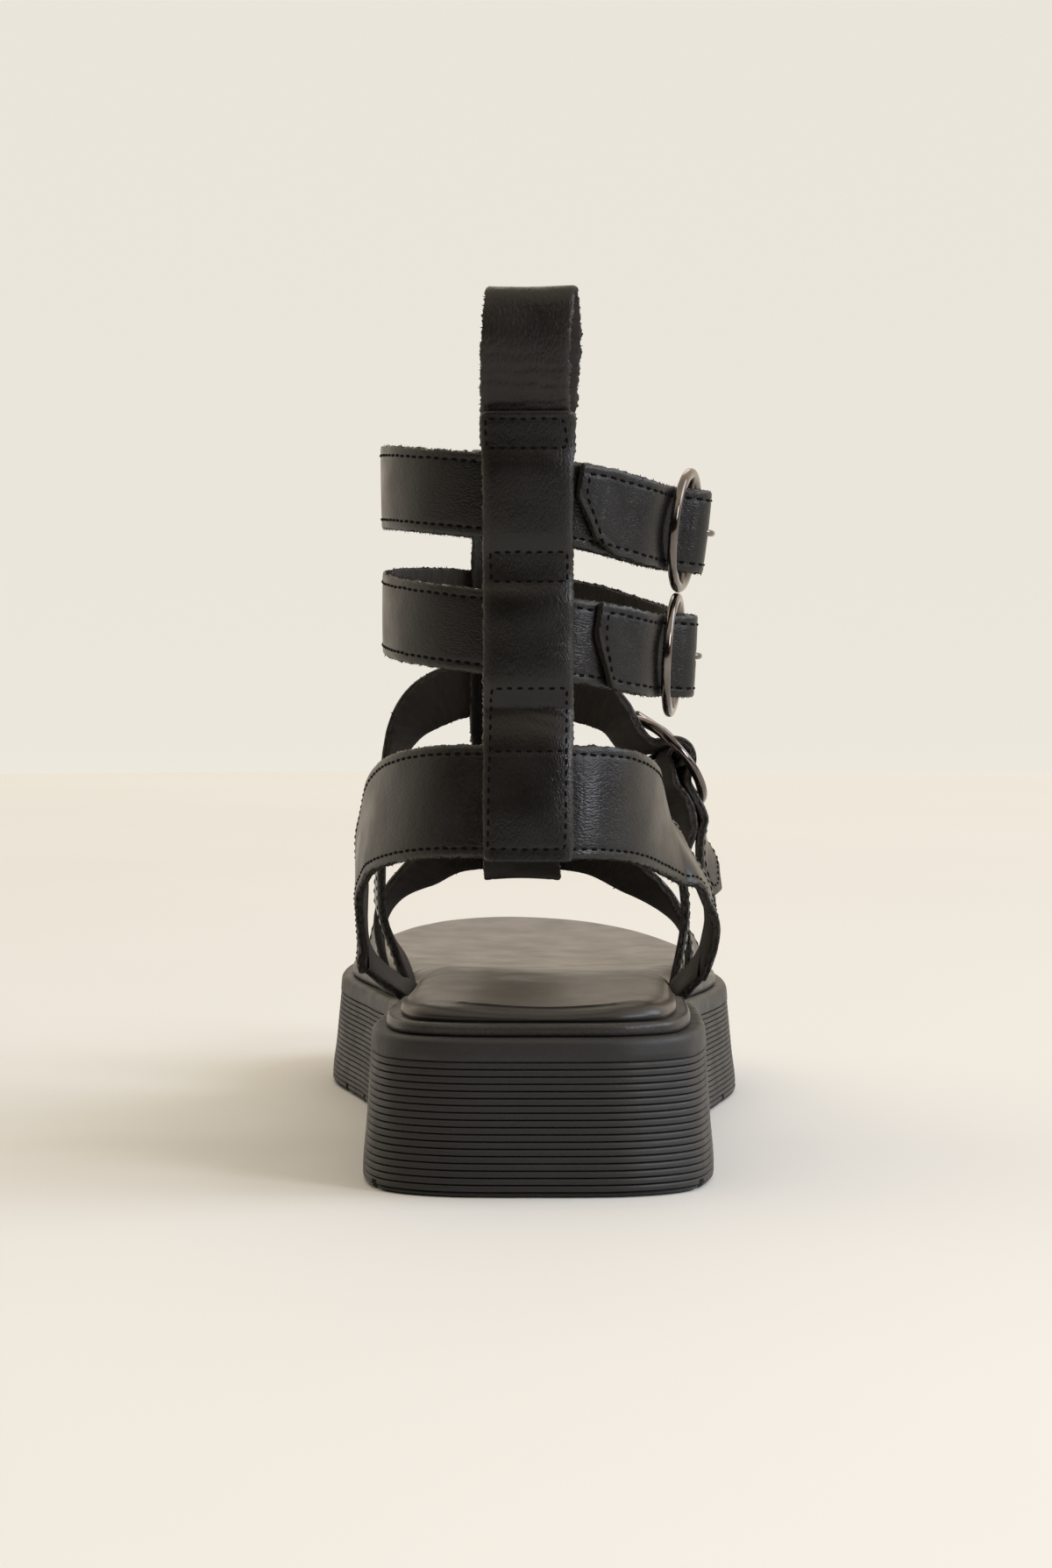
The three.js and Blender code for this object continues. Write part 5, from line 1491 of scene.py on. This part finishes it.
def turned_ring(radius, section, steps):
    """A section turned into a ring about the third axis."""
    out, up = section
    sides = len(out)
    turns = (np.arange(steps) * 2 * math.pi / steps)[:, None]
    r = radius + out
    points = np.stack([r * np.cos(turns), r * np.sin(turns), np.broadcast_to(up, (steps, sides))], axis=-1)
    i, j = np.meshgrid(np.arange(steps), np.arange(sides), indexing="ij")
    after_i, after_j = (i + 1) % steps * sides, (j + 1) % sides
    faces = np.stack([i * sides + j, i * sides + after_j, after_i + after_j, after_i + j], axis=-1)
    return Shape(points.reshape(-1, 3), faces.reshape(-1, 4))


RING_POWER = 2 / 2.5


def ring_and_bar():
    middle, half = (RING.outer + RING.inner) / 2, (RING.outer - RING.inner) / 2
    ring = turned_ring(middle, squared(half, RING.thick / 2, RING_POWER, RING_POWER, 24), 144)
    tilt = math.atan(RING.tilt)
    x, _, z = ring.points.T.copy()
    ring.points[:, 0] = x * math.cos(tilt) + z * math.sin(tilt)
    ring.points[:, 2] = -x * math.sin(tilt) + z * math.cos(tilt) + RING.height
    reach = RING.inner + 0.8
    bar = cylinder((0, -reach, RING.height), (0, reach, RING.height), BAR_RADIUS)
    return joined([ring.facing_out(), bar])


CURL = SimpleNamespace(gap=0.88, half_thick=0.58, half_wide=1.1)  # the prong's curl round the bar
# The prong's arm, counted from the bar: along the strap and out.
PRONG_ARM = ((0.4, 2), (0.7, 4.2), (2.3, 4.85), (4.6, 4.65), (8.6, 2.9), (13.3, 0.7))


def prong():
    """A strip of wire curled round the bar, whose arm comes up through the hole and ends in a rounded tip."""
    section = squared(CURL.half_thick, CURL.half_wide, 0.7, 0.5, 16)
    curl = turned_ring(BAR_RADIUS + CURL.gap, section, 32)
    curl.points = curl.points[:, [0, 2, 1]]
    curl.facing_out()
    line = np.array([(x, 0, z) for x, z in PRONG_ARM], float)
    places = lengths_along(line)
    s = np.concatenate([np.linspace(0, places[-1] - 1, 40), places[-1] - np.array([0.6, 0.3, 0.1, 0.0])])
    left = places[-1] - s
    radii = PRONG_RADIUS * np.sqrt(np.clip(1 - np.clip(1 - left / 0.8, 0, 1) ** 2, 0.02, 1))
    arm = tube(spline(line, places, s), np.tile(vec(0, 1, 0), (len(s), 1)), radii, 16)
    both = joined([curl, arm])
    both.points[:, 2] += RING.height
    return both


def buckle(name, line):
    spot = line.buckle()
    for node, shape in (("buckle_" + name, ring_and_bar()), ("prong_" + name, prong())):
        make_piece(node, in_place(shape, spot), [GUNMETAL], node, sharp=60)


# ---------------------------------------------------------------- the shoe
UPPER_ANKLE = ankle_line(144.4, 0, 2.4, 69.5, -3)
LOWER_ANKLE = ankle_line(117.4, math.tan(math.radians(2.3)), 2, 70, -2)

outsole()
insole_board()
footbed()
back_strap()
pull_loop()
front_strap()
lower_straps()
ankle_strap("ankle_strap_top", UPPER_ANKLE, 31.2, 6, TIP_CUT, 1)
ankle_strap("ankle_strap_middle", LOWER_ANKLE, 27, 5, 0.6 * TIP_CUT, 2)
buckle("top", UPPER_ANKLE)
buckle("middle", LOWER_ANKLE)
buckle("instep", INSTEP)


# ---------------------------------------------------------------- studio
def studio_paper(name, glow):
    """Seamless background paper: matt cream. The part that sweeps up is lit evenly from behind."""
    material, tree, shader, place = new_material(name)
    fill(tree, shader, {"Roughness": 0.9, "Specular IOR Level": 0.1})
    if glow:
        lit = {"Emission Color": hexcolour(glow), "Emission Strength": 1.0, "Base Color": hexcolour("#000000")}
        fill(tree, shader, lit)
    else:
        fill(tree, shader, {"Base Color": mottled(tree, place, 400, 0.3, 0.7, "#dfe0de", "#e2e3e1")})
    return material


def studio():
    """A round floor that sweeps up into a wall on every side. Only the camera sees the wall."""
    radius, sweep, height, around = 1.7, 0.7, 2.4, 96
    floor_rows = [(0.02, 0), (0.3, 0), (0.8, 0), (radius, 0)]
    turns = np.linspace(0, math.pi / 2, 14)
    wall_rows = [(radius + sweep * math.sin(t), sweep * (1 - math.cos(t))) for t in turns]
    wall_rows.append((radius + sweep, height))
    for name, rows, glow in (("studio_floor", floor_rows, None), ("studio_wall", wall_rows, "#eae5db")):
        points = [(r * math.cos(2 * math.pi * k / around), r * math.sin(2 * math.pi * k / around), z)
                  for r, z in rows for k in range(around)]
        faces = ring_faces(len(rows), around).tolist()
        if name == "studio_floor":
            faces.append(list(range(around)))
        mesh = bpy.data.meshes.new(name)
        mesh.from_pydata(points, [], faces)
        mesh.polygons.foreach_set("use_smooth", [True] * len(mesh.polygons))
        mesh.materials.append(studio_paper("background_paper_cream_" + name, glow))
        part = bpy.data.objects.new(name, mesh)
        bpy.context.scene.collection.objects.link(part)
        if name == "studio_wall":
            part.visible_shadow = False
            part.visible_diffuse = False
            part.visible_glossy = False


def area_light(name, place, target, size, power, colour):
    data = bpy.data.lights.new(name, "AREA")
    data.shape = "DISK"
    data.size = size
    data.energy = power
    data.color = hexcolour(colour)[:3]
    light = bpy.data.objects.new(name, data)
    light.location = place
    way = np.array(target, float) - np.array(place, float)
    yaw = math.atan2(-way[0], way[1])
    tilt = math.atan2(math.hypot(way[0], way[1]), -way[2])
    light.rotation_euler = (tilt, 0, yaw)
    light.visible_camera = False
    bpy.context.scene.collection.objects.link(light)


BEHIND_CAMERA = "#352e27"
# The rest of the room, blended in along an axis of the view: where it starts, where it is full, its colour.
ROOM = (
    ("beyond the shoe", "Y", -0.75, 0.5, "#e6d9c6"),
    ("ceiling", "Z", 0.3, 0.8, "#f2e4cf"),
)
LAMPS = (
    # name, place, target, size, power, colour
    ("key", (4.2, 0.33, 2.7), (0, 0.05, 0.08), 3.6, 122, "#dceaff"),
    ("front_right", (1.05, -0.85, 0.6), (0, 0, 0.1), 0.5, 8, "#f4f4ff"),
    ("far_fill", (0, 2.6, 2.0), (0, 1.4, 0), 1.6, 9, "#fff4e6"),
)


def studio_light():
    """A bright, even room above and beyond the shoe, darker on the side behind the camera."""
    world = bpy.data.worlds.new("studio_room")
    bpy.context.scene.world = world
    world.use_nodes = True
    tree = world.node_tree
    sky = add_node(tree, "TexCoord").outputs["Generated"]
    way = add_node(tree, "SeparateXYZ", {0: sky})
    colour = hexcolour(BEHIND_CAMERA)
    for _, axis, start, full, shade in ROOM:
        limits = {"Value": way.outputs[axis], "From Min": start, "From Max": full}
        share = add_node(tree, "MapRange", limits, interpolation_type="SMOOTHSTEP").outputs["Result"]
        shades = {"Factor": share, 6: colour, 7: hexcolour(shade)}
        colour = add_node(tree, "Mix", shades, data_type="RGBA").outputs[2]
    fill(tree, tree.nodes["Background"], {"Color": colour, "Strength": 1.11})
    for lamp in LAMPS:
        area_light(*lamp)


def camera():
    data = bpy.data.cameras.new("camera")
    data.lens = 94.92
    data.sensor_width = 36
    data.clip_end = 20
    viewer = bpy.data.objects.new("camera", data)
    viewer.location = (-0.0025, -0.884, 0.132)
    viewer.rotation_euler = (math.radians(90 - 3.1), 0, 0)
    bpy.context.scene.collection.objects.link(viewer)
    bpy.context.scene.camera = viewer


studio()
studio_light()
camera()
bpy.context.scene.view_settings.view_transform = "Standard"
